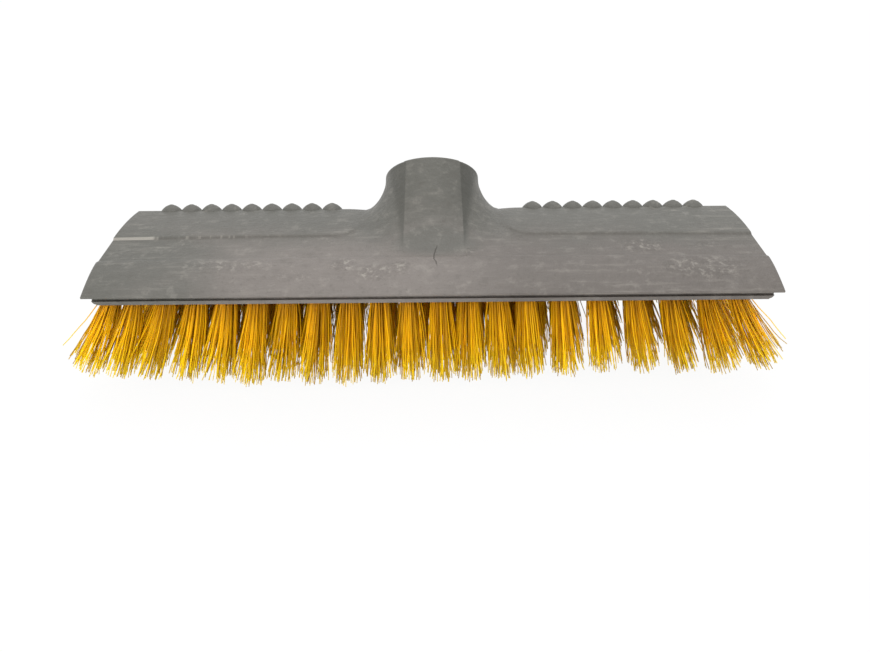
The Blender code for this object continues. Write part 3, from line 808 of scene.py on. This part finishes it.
def hairCrack(x, y, z):
    # A fine wavy crack in front of the socket
    startX, startY = wear["crackStart"]
    length = wear["crackLength"] / 1000
    back = lipFront + startY / 1000 - y
    wave = calc("SINE", back * (math.pi / length)) * (wear["crackBow"] / 1000)
    jitter = noiseAt(combine(0.0, y, 0.0), *wear["crackNoise"]) - 0.5
    middle = wave + jitter * wear["crackRagged"] + startX / 1000
    line = smoothBetween(calc("ABSOLUTE", x - middle), *wear["crackWidth"])
    first, last = wear["crackEnds"]
    ends = smoothBetween(back, 0.0, first) * smoothBetween(back, length, length - last)
    return line * ends * smoothBetween(z, lipLevel, lipLevel + wear["crackBase"])


# Where the painted shade lies on the socket's flanks
flankShade = {
    "footDrop": 0.0009,
    "height": 0.0235,
    "middleX": 0.0005,
    "innerX": 0.0117,
    "innerLean": 0.0010,
    "footWidth": 0.0020,
    "widening": 0.0095,
    "footRound": 0.12,
    "innerEdge": (-0.0002, 0.0003),
    "outerEdge": (-0.0004, 0.0034),
    "frontFade": (0.0235, 0.0275),
    "footFade": (0.0004, 0.0014),
    "sideFade": (-0.002, 0.002),
    "left": 0.70,
    "rightGain": 0.28,
}


def socketFlankShade(x, y, z):
    # Painted shade on the hollow flanks on both sides of the socket's front panel, stronger on the right
    rise = z - (lipLevel + block["bandHeight"] - flankShade["footDrop"])
    share = rise / flankShade["height"]
    inner = calc("ABSOLUTE", x - flankShade["middleX"]) - flankShade["innerX"] + share * flankShade["innerLean"]
    wide = share * flankShade["widening"] + flankShade["footWidth"]
    outer = wide * smoothBetween(share, 0.0, flankShade["footRound"]) - inner
    near, far = [lipFront + reach for reach in flankShade["frontFade"]]
    mask = smoothBetween(inner, *flankShade["innerEdge"]) * smoothBetween(outer, *flankShade["outerEdge"])
    mask = mask * smoothBetween(y, near, far) * smoothBetween(rise, *flankShade["footFade"])
    rightward = smoothBetween(x, *flankShade["sideFade"]) * flankShade["rightGain"]
    return mask * (rightward + flankShade["left"])


def baseTone(place, x, y):
    # Warm in the middle, dimmer to the right, greener to the left and the rear, and greener around the base
    # of the socket's front for dirt and painted shadow
    left = smoothBetween(x * -1.0, *greyLook["leftFade"])
    near, far = [lipFront + reach for reach in greyLook["rearFade"]]
    cloud = noiseAt(place, *greyLook["cloudNoise"])
    shift = calc("MAXIMUM", left, smoothBetween(y, near, far)) + (cloud - 0.5)
    drifted = x + cloud * greyLook["cloudDrift"]
    color = mixColor(smoothBetween(drifted, *greyLook["rightFade"]), greyLook["warm"], greyLook["dim"])
    # Dirt and painted shadow around the base of the socket's front turn it greener
    greener = calc("MAXIMUM", smoothBetween(shift, 0.0, 1.0), nearSpot(x, y, wear["footShadowAndDirt"]))
    return mixColor(greener, color, greyLook["green"])


def markedTone(place, color, textures):
    # Pale and dark marks, where the pale streaks of the flow gather in patches
    gathered = smoothBetween(noiseAt(place, *greyLook["streakNoise"]), *greyLook["streakFade"])
    for kind, low, high, strength, tone in greyLook["marks"]:
        if kind == "streak":
            mask = smoothBetween(textures["flow"], low, high) * (gathered * strength)
        else:
            mask = smoothBetween(textures[kind], low, high) * strength
        color = mixColor(mask, color, greyLook[tone])
    return color


def greyRelief(place, textures, rubbedAndHighlit, crack):
    # Wrinkles gather in the same patches as the scuffs
    heights = greyLook["relief"]
    more, least = greyLook["wrinkleSpread"]
    gathered = calc("MINIMUM", rubbedAndHighlit * more + least, 1.0) * heights["wrinkle"]
    relief = textures["flow"] * heights["flow"] + textures["grain"] * heights["grain"]
    relief = relief + textures["mottle"] * heights["mottle"]
    return relief + noiseAt(place, *greyLook["wrinkleNoise"]) * gathered - crack * heights["crack"]


def makeGreyPlastic():
    material, tree, shader = newMaterial("mouldedGreyPlastic")
    place = outputOf(tree, "ShaderNodeTexCoord", "Object", {})
    x, y, z = separate(place)
    # Flow marks from the moulding run along the block
    along = combine(*[part * scale for part, scale in zip((x, y, z), greyLook["flowStretch"])])
    textures = {"flow": noiseAt(along, *greyLook["flowNoise"]),
                "mottle": noiseAt(place, *greyLook["mottleNoise"]),
                "grain": noiseAt(place, *greyLook["grainNoise"])}
    rubbedAndHighlit = rubbedPlacesAndHighlight(place, x, y)
    marks = smoothBetween(noiseAt(place, *wear["scuffNoise"]), *wear["scuffFade"])
    scuffsAndHighlight = rubbedAndHighlit * marks * smoothBetween(z, lipLevel - wear["scuffBase"], lipLevel)
    crack = hairCrack(x, y, z)
    color = markedTone(place, baseTone(place, x, y), textures)
    # Pale scuffs, and a painted highlight at the base of the socket panel's right edge
    color = mixColor(scuffsAndHighlight * wear["scuffStrength"], color, greyLook["pale"])
    # Painted shade on the socket's flanks
    color = mixColor(socketFlankShade(x, y, z), color, greyLook["flankShadeColor"])
    # Painted shade along the step in front of both pads
    color = mixColor(padStepShade(x, y), color, greyLook["dark"])
    # Painted highlight along the left pad's front edge
    color = mixColor(padEdgeHighlight(x, y), color, greyLook["pale"])
    color = mixColor(crack * wear["crackStrength"], color, greyLook["dark"])
    rough = textures["flow"] * greyLook["flowRoughness"] + greyLook["roughness"]
    rough = rough + scuffsAndHighlight * greyLook["scuffRoughness"]
    relief = greyRelief(place, textures, rubbedAndHighlit, crack)
    bump = bumpFrom(relief, greyLook["bumpStrength"], greyLook["bumpDistance"])
    feed(tree, shader, {"Base Color": color, "Roughness": rough, "Normal": bump, "IOR": greyLook["ior"]})
    return material


greyPlastic = makeGreyPlastic()
print("grey plastic made")


# The head shell: block, rail and socket in one piece, with its bore and drilled holes


def weld(piece):
    # Closes the hair-thin slits that the cuts leave
    bm = bmesh.new()
    bm.from_mesh(piece.data)
    bmesh.ops.remove_doubles(bm, verts=bm.verts, dist=3 * samePlace)
    bmesh.ops.dissolve_degenerate(bm, edges=bm.edges, dist=samePlace)
    bm.to_mesh(piece.data)
    bm.free()


def makeHeadShell():
    shell = addPiece("headShell", slabMesh(), greyPlastic)
    added = [addPiece("bodyShape", bodyMesh()), addPiece("railShape", railMesh()),
             addPiece("backingShape", backingMesh()), addPiece("socketShape", socketMesh())]
    removed = [addPiece("grooveShape", grooveMesh()), addPiece("boreShape", boreMesh()),
               addPiece("holeShape", holeMesh())]
    combineInto(shell, added, "UNION")
    combineInto(shell, removed, "DIFFERENCE")
    bakeModifiers(shell, block["smoothAngle"])
    weld(shell)
    shell.data.transform(toWorld)
    for tool in added + removed:
        bpy.data.objects.remove(tool, do_unlink=True)
    return shell


headShell = makeHeadShell()
print("head shell:", len(headShell.data.polygons), "faces")


# Geometry Nodes helpers

def newTree(name, inputs):
    tree = bpy.data.node_groups.new(name, "GeometryNodeTree")
    for direction in ("INPUT", "OUTPUT"):
        tree.interface.new_socket(name="Geometry", in_out=direction, socket_type="NodeSocketGeometry")
    for label, value in inputs.items():
        kind = "NodeSocketInt" if isinstance(value, int) else "NodeSocketFloat"
        tree.interface.new_socket(name=label, in_out="INPUT", socket_type=kind)
    start = tree.nodes.new("NodeGroupInput")
    return tree, {socket.name: Value(tree, socket) for socket in start.outputs}


def closeTree(geometry, material):
    tree = geometry.tree
    plain = outputOf(tree, "GeometryNodeRealizeInstances", 0, {0: geometry})
    painted = outputOf(tree, "GeometryNodeSetMaterial", 0, {0: plain, "Material": material})
    addNode(tree, "NodeGroupOutput", {0: painted})


def runTree(name, points, attributes, tree, inputs):
    mesh = bpy.data.meshes.new(name)
    mesh.from_pydata(points, [], [])
    for label, values in attributes.items():
        kind = "FLOAT_VECTOR" if isinstance(values[0], tuple) else "FLOAT"
        layer = mesh.attributes.new(label, kind, "POINT")
        for item, value in zip(layer.data, values):
            if kind == "FLOAT":
                item.value = value
            else:
                item.vector = value
    piece = newObject(name, mesh)
    modifier = piece.modifiers.new(tree.name, "NODES")
    modifier.node_group = tree
    for item in tree.interface.items_tree:
        if item.in_out == "INPUT" and item.name in inputs:
            modifier[item.identifier] = inputs[item.name]
    return piece


def storeAs(geometry, label, value, kind="FLOAT_VECTOR"):
    inputs = {"Geometry": geometry, "Name": label, "Value": value}
    return outputOf(geometry.tree, "GeometryNodeStoreNamedAttribute", 0, inputs, data_type=kind,
                    domain="POINT")


def stored(tree, label, kind="FLOAT_VECTOR"):
    return outputOf(tree, "GeometryNodeInputNamedAttribute", "Attribute", {"Name": label}, data_type=kind)


def dice(tree, seed, low=0.0, high=1.0):
    node = addNode(tree, "FunctionNodeRandomValue", {"Seed": seed}, data_type="FLOAT")
    lowest, highest = [item for item in node.inputs if item.enabled][:2]
    lowest.default_value = low
    highest.default_value = high
    return Value(tree, [item for item in node.outputs if item.enabled][0])


def moveBy(geometry, offset):
    inputs = {"Geometry": geometry, "Offset": offset}
    return outputOf(geometry.tree, "GeometryNodeSetPosition", 0, inputs)


def multiply(geometry, amount):
    # Copies of every point, with the number of each copy
    inputs = {"Geometry": geometry, "Amount": amount}
    node = addNode(geometry.tree, "GeometryNodeDuplicateElements", inputs, domain="POINT")
    return [Value(geometry.tree, socket) for socket in node.outputs]


# Rear teeth: round-tipped cones that touch at their feet

def toothTree(inputs):
    tree, take = newTree("teethOnRail", inputs)
    sizes = {"Vertices": teeth["sides"], "Side Segments": teeth["rings"], "Radius": 1.0, "Depth": 1.0}
    cone = outputOf(tree, "GeometryNodeMeshCylinder", "Mesh", sizes, fill_type="TRIANGLE_FAN")
    x, y, z = separate(outputOf(tree, "GeometryNodeInputPosition", 0, {}))
    share = z + 0.5
    shape = addNode(tree, "ShaderNodeFloatCurve", {"Value": share})
    curve = shape.mapping.curves[0]
    curve.points[0].location = teeth["profile"][0]
    curve.points[-1].location = teeth["profile"][-1]
    for spot, width in teeth["profile"][1:-1]:
        curve.points.new(spot, width)
    shape.mapping.update()
    wide = Value(tree, shape.outputs[0]) * take["Foot Radius"]
    tall = share * (take["Height"] + take["Root"]) - take["Root"]
    inputs = {"Geometry": cone, "Position": combine(x * wide, y * wide, tall)}
    tooth = outputOf(tree, "GeometryNodeSetPosition", 0, inputs)
    inputs = {"Points": take["Geometry"], "Instance": tooth, "Rotation": combine(take["Tilt"], 0.0, 0.0)}
    closeTree(outputOf(tree, "GeometryNodeInstanceOnPoints", 0, inputs), greyPlastic)
    return tree


def makeTeeth():
    inputs = {"Foot Radius": toothPitch / 2 + teeth["footOverlap"], "Height": teeth["height"],
              "Root": teeth["root"], "Tilt": -math.radians(teeth["tilt"])}
    y = lipFront + block["depth"] - teeth["forward"]
    points = [(side * (teeth["firstX"] + toothPitch * index), y, lipLevel - teeth["drop"])
              for side in (-1, 1) for index in range(teeth["perSide"])]
    piece = runTree("rearTeeth", points, {}, toothTree(inputs), inputs)
    return bakeModifiers(piece, teeth["smoothAngle"])


rearTeeth = makeTeeth()
print("teeth:", len(rearTeeth.data.polygons), "faces")


# Amber bristle plastic: painted shade darkens it towards the root and painted light brightens it towards
# the tip, with its own tone for every strand

bristleLook = {
    # The root colour is painted shade under the block, the tip colour is painted light
    "root": (0.62, 0.27, 0.001, 1.0),
    "middle": (1.0, 0.585, 0.002, 1.0),
    "tip": (1.0, 0.76, 0.008, 1.0),
    "deep": (0.60, 0.24, 0.001, 1.0),
    "through": (1.0, 0.88, 0.30, 1.0),
    "throughShare": 0.34,
    "deepShare": 0.65,
    "darkest": 0.72,
    "lightest": 1.45,
    "rootShadeFade": (0.0, 0.45),  # along the strand
    "tipLightFade": (0.45, 1.0),
    "deepFade": (0.60, 0.10),
    "sheenNoise": (500.0, 2.0),
    "roughness": 0.30,
    "sheenRoughness": 0.16,
    "bumpStrength": 0.2,
    "bumpDistance": 0.0001,
    "ior": 1.5,
    "specular": 0.22,
}


def strandValue(tree, label):
    return outputOf(tree, "ShaderNodeAttribute", "Fac", {}, attribute_name=label)


def makeBristlePlastic():
    material, tree, shader = newMaterial("amberBristlePlastic")
    share = strandValue(tree, "along")
    tone = strandValue(tree, "tone")
    # Painted shade towards the root, painted light towards the tip
    pastRootShade = smoothBetween(share, *bristleLook["rootShadeFade"])
    color = mixColor(pastRootShade, bristleLook["root"], bristleLook["middle"])
    color = mixColor(smoothBetween(share, *bristleLook["tipLightFade"]), color, bristleLook["tip"])
    deeper = smoothBetween(tone, *bristleLook["deepFade"]) * bristleLook["deepShare"]
    color = mixColor(deeper, color, bristleLook["deep"])
    strength = tone * (bristleLook["lightest"] - bristleLook["darkest"]) + bristleLook["darkest"]
    inputs = {0: 1.0, 6: color, 7: combine(strength, strength, strength)}
    color = outputOf(tree, "ShaderNodeMix", 2, inputs, data_type="RGBA", blend_type="MULTIPLY")
    sheen = noiseAt(outputOf(tree, "ShaderNodeTexCoord", "Object", {}), *bristleLook["sheenNoise"])
    feed(tree, shader, {
        "Base Color": color,
        "Roughness": sheen * bristleLook["sheenRoughness"] + bristleLook["roughness"],
        "Normal": bumpFrom(sheen, bristleLook["bumpStrength"], bristleLook["bumpDistance"]),
        "IOR": bristleLook["ior"],
        "Specular IOR Level": bristleLook["specular"],
    })
    # Some light passes through the strands
    through = outputOf(tree, "ShaderNodeBsdfTranslucent", 0, {"Color": bristleLook["through"]})
    blendShader(tree, shader, bristleLook["throughShare"], through)
    return material


bristlePlastic = makeBristlePlastic()
print("bristle plastic made")


# Bristles: each row is one piece; every strand leans, spreads and bends a little by itself

strands = {
    "inputs": {"Strands": 110, "Segments": 8, "Length": 0.0418, "Ragged": 0.0058,
               "Edge Shortening": 0.0034, "Root Radius": 0.0033, "Flare": 0.0004,
               "Tip Spread": 0.0032, "Tip Jitter": 0.0008, "Stray Share": 0.04,
               "Stray Reach": 0.0006, "Bend": 0.0006, "Wobble": 0.0007, "Thickness": 0.00046},
    "rootInset": 0.0004,
    "sides": 3,
    "taper": 0.25,
    "flarePower": 7.0,
    "spreadPower": 1.12,
    "wobbleSteps": (3.17, 2.4),  # through the noise, from strand to strand and along one
    "raggedPower": 1.4,
    "edgePower": 3.0,
    "smoothAngle": 180.0,
    "endShortening": 0.0026,
    "rightShortening": 0.0030,
    "rightFade": (0.020, 0.045),
    "rightFadeOut": (0.060, 0.112),
    "centreShortening": 0.0014,
    "rightTightness": 0.18,
    "tightFade": (0.020, 0.050),
    "rearLooseness": 0.30,
    "leanLinear": 0.11,
    "leanEndGain": 0.036,
    "rightEndLean": 0.0029,
    "rightEndFade": (0.0880, 0.1115),
    "rowLean": 0.02,
    "tuftSeed": 5,
    "tuftLengthVaries": 0.0011,
    "tuftLeanVaries": 0.0007,
}


def placeStrands(geometry):
    # Where each strand stands in its tuft
    tree = geometry.tree
    turn = dice(tree, 1, 0.0, 2 * math.pi)
    reach = calc("SQRT", dice(tree, 2))
    spot = combine(calc("COSINE", turn) * reach, calc("SINE", turn) * reach, 0.0)
    geometry = storeAs(geometry, "spot", spot)
    geometry = storeAs(geometry, "tone", dice(tree, 3), "FLOAT")
    return storeAs(geometry, "strand", outputOf(tree, "GeometryNodeInputIndex", 0, {}), "INT")


def aimStrands(geometry, take):
    # How far the tip lies aside, with a few strands astray
    tree = geometry.tree
    jitter = combine(dice(tree, 4, -1.0, 1.0), dice(tree, 5, -1.0, 1.0), 0.0)
    astray = calc("LESS_THAN", dice(tree, 6), take["Stray Share"]) * take["Stray Reach"]
    drift = vecCalc("SCALE", jitter, take["Tip Jitter"] + astray)
    loose = take["Tip Spread"] * stored(tree, "loose", "FLOAT")
    spread = vecCalc("SCALE", stored(tree, "spot"), loose)
    leant = vecCalc("ADD", stored(tree, "lean"), spread)
    return storeAs(geometry, "shift", vecCalc("ADD", leant, drift))


def hangStrands(geometry, take):
    # How far the tip lies below the root: outer strands are shorter, and all end unevenly
    tree = geometry.tree
    ragged = dice(tree, 7) ** strands["raggedPower"] * take["Ragged"]
    fromMiddle = vecCalc("LENGTH", stored(tree, "spot"))
    short = ragged + fromMiddle ** strands["edgePower"] * take["Edge Shortening"]
    long = take["Length"] - short - stored(tree, "shorten", "FLOAT")
    aside = vecCalc("LENGTH", stored(tree, "shift"))
    fall = calc("SQRT", long * long - aside * aside)
    geometry = storeAs(geometry, "fall", fall, "FLOAT")
    bow = combine(dice(tree, 8, -1.0, 1.0), dice(tree, 9, -1.0, 1.0), 0.0)
    return storeAs(geometry, "bow", vecCalc("SCALE", bow, take["Bend"]))


def strandPath(along, take):
    # Where a point of the strand lies, from its root: out, bowed, a little wavy, and down
    tree = along.tree
    left = 1.0 - along
    path = vecCalc("SCALE", stored(tree, "shift"), along ** strands["spreadPower"])
    opened = (1.0 - left ** strands["flarePower"]) * take["Flare"]
    path = vecCalc("ADD", path, vecCalc("SCALE", stored(tree, "spot"), opened))
    hump = along * left * 4.0
    path = vecCalc("ADD", path, vecCalc("SCALE", stored(tree, "bow"), hump))
    byStrand, byAlong = strands["wobbleSteps"]
    seat = combine(stored(tree, "strand", "INT") * byStrand, along * byAlong, 0.0)
    inputs = {"Vector": seat, "Scale": 1.0, "Detail": 1.0}
    side = vecCalc("SUBTRACT", outputOf(tree, "ShaderNodeTexNoise", "Color", inputs), (0.5, 0.5, 0.5))
    side = vecCalc("MULTIPLY", side, (1.0, 1.0, 0.0))
    side = vecCalc("SCALE", side, along * take["Wobble"] * 4.0)
    down = combine(0.0, 0.0, along * stored(tree, "fall", "FLOAT") * -1.0)
    return vecCalc("ADD", vecCalc("ADD", path, side), down)


def strandTubes(geometry, along, take):
    tree = geometry.tree
    inputs = {"Points": geometry, "Curve Group ID": stored(tree, "strand", "INT"),
              "Weight": stored(tree, "along", "FLOAT")}
    curves = outputOf(tree, "GeometryNodePointsToCurves", 0, inputs)
    inputs = {"Resolution": strands["sides"], "Radius": take["Thickness"] * 0.5}
    section = outputOf(tree, "GeometryNodeCurvePrimitiveCircle", 0, inputs)
    inputs = {"Curve": curves, "Profile Curve": section, "Fill Caps": True,
              "Scale": 1.0 - along * strands["taper"]}
    return outputOf(tree, "GeometryNodeCurveToMesh", 0, inputs)


def bristleTree(inputs):
    tree, take = newTree("bristleRow", inputs)
    points = outputOf(tree, "GeometryNodeMeshToPoints", 0, {"Mesh": take["Geometry"]})
    geometry = placeStrands(multiply(points, take["Strands"])[0])
    geometry = aimStrands(geometry, take)
    geometry = hangStrands(geometry, take)
    spot = vecCalc("SCALE", stored(tree, "spot"), take["Root Radius"])
    geometry, order = multiply(moveBy(geometry, spot), take["Segments"] + 1.0)
    geometry = storeAs(geometry, "along", order / take["Segments"], "FLOAT")
    along = stored(tree, "along", "FLOAT")
    geometry = moveBy(geometry, strandPath(along, take))
    closeTree(strandTubes(geometry, along, take), bristlePlastic)
    return tree


def tuftLean(x, y):
    share = x / halfLength
    outward = strands["leanLinear"] * x + strands["leanEndGain"] * halfLength * share ** 3
    outward += strands["rightEndLean"] * smoothStep(x, *strands["rightEndFade"])
    return (outward, strands["rowLean"] * (y - block["depth"] / 2), 0.0)


def variedLean(x, y, chance):
    drift = strands["tuftLeanVaries"]
    outward, back = [lean + chance.uniform(-drift, drift) for lean in tuftLean(x, y)][:2]
    return (outward, back, 0.0)


def tuftShortening(x):
    # Tufts are shorter in the middle, towards the left end and right of the middle
    worn = strands["rightShortening"] * smoothStep(x, *strands["rightFade"])
    worn += strands["endShortening"] * (x / halfLength) ** 2
    worn *= 1.0 - smoothStep(x, *strands["rightFadeOut"])
    return worn + strands["centreShortening"] * nearCentre(x)


def tuftLooseness(row, x):
    rear = 1.0 + strands["rearLooseness"] * min(row, 1)
    return rear * (1.0 - strands["rightTightness"] * smoothStep(x, *strands["tightFade"]))


def makeBristleRows():
    tree = bristleTree(strands["inputs"])
    chance = random.Random(strands["tuftSeed"])
    seat = lipLevel - block["bodyDepth"] + strands["rootInset"]
    rows = []
    for row in range(tufts["rows"]):
        places = rowPlaces(row)
        points = [(x, y + lipFront, seat) for x, y in places]
        varies = strands["tuftLengthVaries"]
        attributes = {
            "lean": [variedLean(x, y, chance) for x, y in places],
            "shorten": [tuftShortening(x) + chance.uniform(0.0, varies) for x, y in places],
            "loose": [tuftLooseness(row, x) for x, y in places],
        }
        piece = runTree("bristleRow%d" % (row + 1), points, attributes, tree, strands["inputs"])
        rows.append(bakeModifiers(piece, strands["smoothAngle"]))
    return rows


bristleRows = makeBristleRows()
print("bristle rows:", [len(piece.data.polygons) for piece in bristleRows])


# Hand the pieces to the frame

for piece in (headShell, rearTeeth):
    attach(piece, "root")
    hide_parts("head_block")

for row, piece in enumerate(bristleRows):
    start = "front_tuft_" if row == 0 else "row_%d_tufts_" % (row + 1)
    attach(piece, "root")
    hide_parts(*[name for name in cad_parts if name.startswith(start)])


# Stage, light and camera

stageLook = {
    "floorSize": 12.0,
    "floorColor": (0.92, 0.92, 0.92, 1.0),
    "whiteShare": 0.93,
    "worldStrength": 1.15,
    "overheadPlace": (0.10, 0.45, 1.10),
    "overheadSize": 0.9,
    "overheadPower": 4.0,
    "overheadAim": (0.0, 0.0, 0.04),
    "frontFillPlace": (-0.55, -1.0, 0.16),
    "frontFillSize": 0.5,
    "frontFillPower": 3.6,
    "frontFillAim": (0.0, 0.0, 0.03),
}


def seenDirectly(tree):
    rays = addNode(tree, "ShaderNodeLightPath", {}).outputs
    camera, glossy, through = [Value(tree, rays["Is %s Ray" % kind])
                               for kind in ("Camera", "Glossy", "Transmission")]
    return calc("MAXIMUM", calc("MAXIMUM", camera, glossy), through)


def makeFloor():
    bm = bmesh.new()
    bmesh.ops.create_grid(bm, x_segments=1, y_segments=1, size=stageLook["floorSize"] / 2)
    material, tree, shader = newMaterial("paleFloor")
    feed(tree, shader, {"Base Color": stageLook["floorColor"], "Roughness": 0.9})
    glow = outputOf(tree, "ShaderNodeEmission", 0, {})
    blendShader(tree, shader, seenDirectly(tree) * stageLook["whiteShare"], glow)
    addPiece("paleFloor", bm, material)


def makeWorld():
    world = bpy.data.worlds.new("studio")
    world.use_nodes = True
    tree = world.node_tree
    level = stageLook["worldStrength"]
    strength = seenDirectly(tree) * (1.0 - level) + level
    feed(tree, tree.nodes["Background"], {"Color": (1.0, 1.0, 1.0, 1.0), "Strength": strength})
    bpy.context.scene.world = world


def makeLamp(name):
    place = Vector(stageLook[name + "Place"])
    aim = Vector(stageLook[name + "Aim"])
    data = bpy.data.lights.new(name, "AREA")
    data.shape = "DISK"
    data.size = stageLook[name + "Size"]
    data.energy = stageLook[name + "Power"]
    lamp = newObject(name, data)
    lamp.location = place
    lamp.rotation_euler = (aim - place).to_track_quat("-Z", "Y").to_euler()


cameraView = {
    "lens": 30.8276,
    "tilt": 35.17,
    "roll": -0.535,
    "fromLip": (0.00071, -0.222146, 0.14242),
}


def makeCamera():
    data = bpy.data.cameras.new("photoView")
    data.lens = cameraView["lens"]
    data.sensor_width = 36.0
    data.clip_start = 0.01
    camera = newObject("photoView", data)
    tilt = math.radians(cameraView["tilt"])
    away = Vector((0.0, -math.cos(tilt), math.sin(tilt)))
    up = Vector((0.0, math.sin(tilt), math.cos(tilt)))
    facing = Matrix((Vector((1.0, 0.0, 0.0)), up, away)).transposed().to_4x4()
    place = Vector((0.0, lipFront, lipLevel)) + Vector(cameraView["fromLip"])
    roll = Matrix.Rotation(math.radians(cameraView["roll"]), 4, "Z")
    camera.matrix_world = Matrix.Translation(place) @ facing @ roll
    bpy.context.scene.camera = camera


makeFloor()
makeWorld()
makeLamp("overhead")
makeLamp("frontFill")
makeCamera()
bpy.context.scene.view_settings.view_transform = "Standard"
print("stage ready")
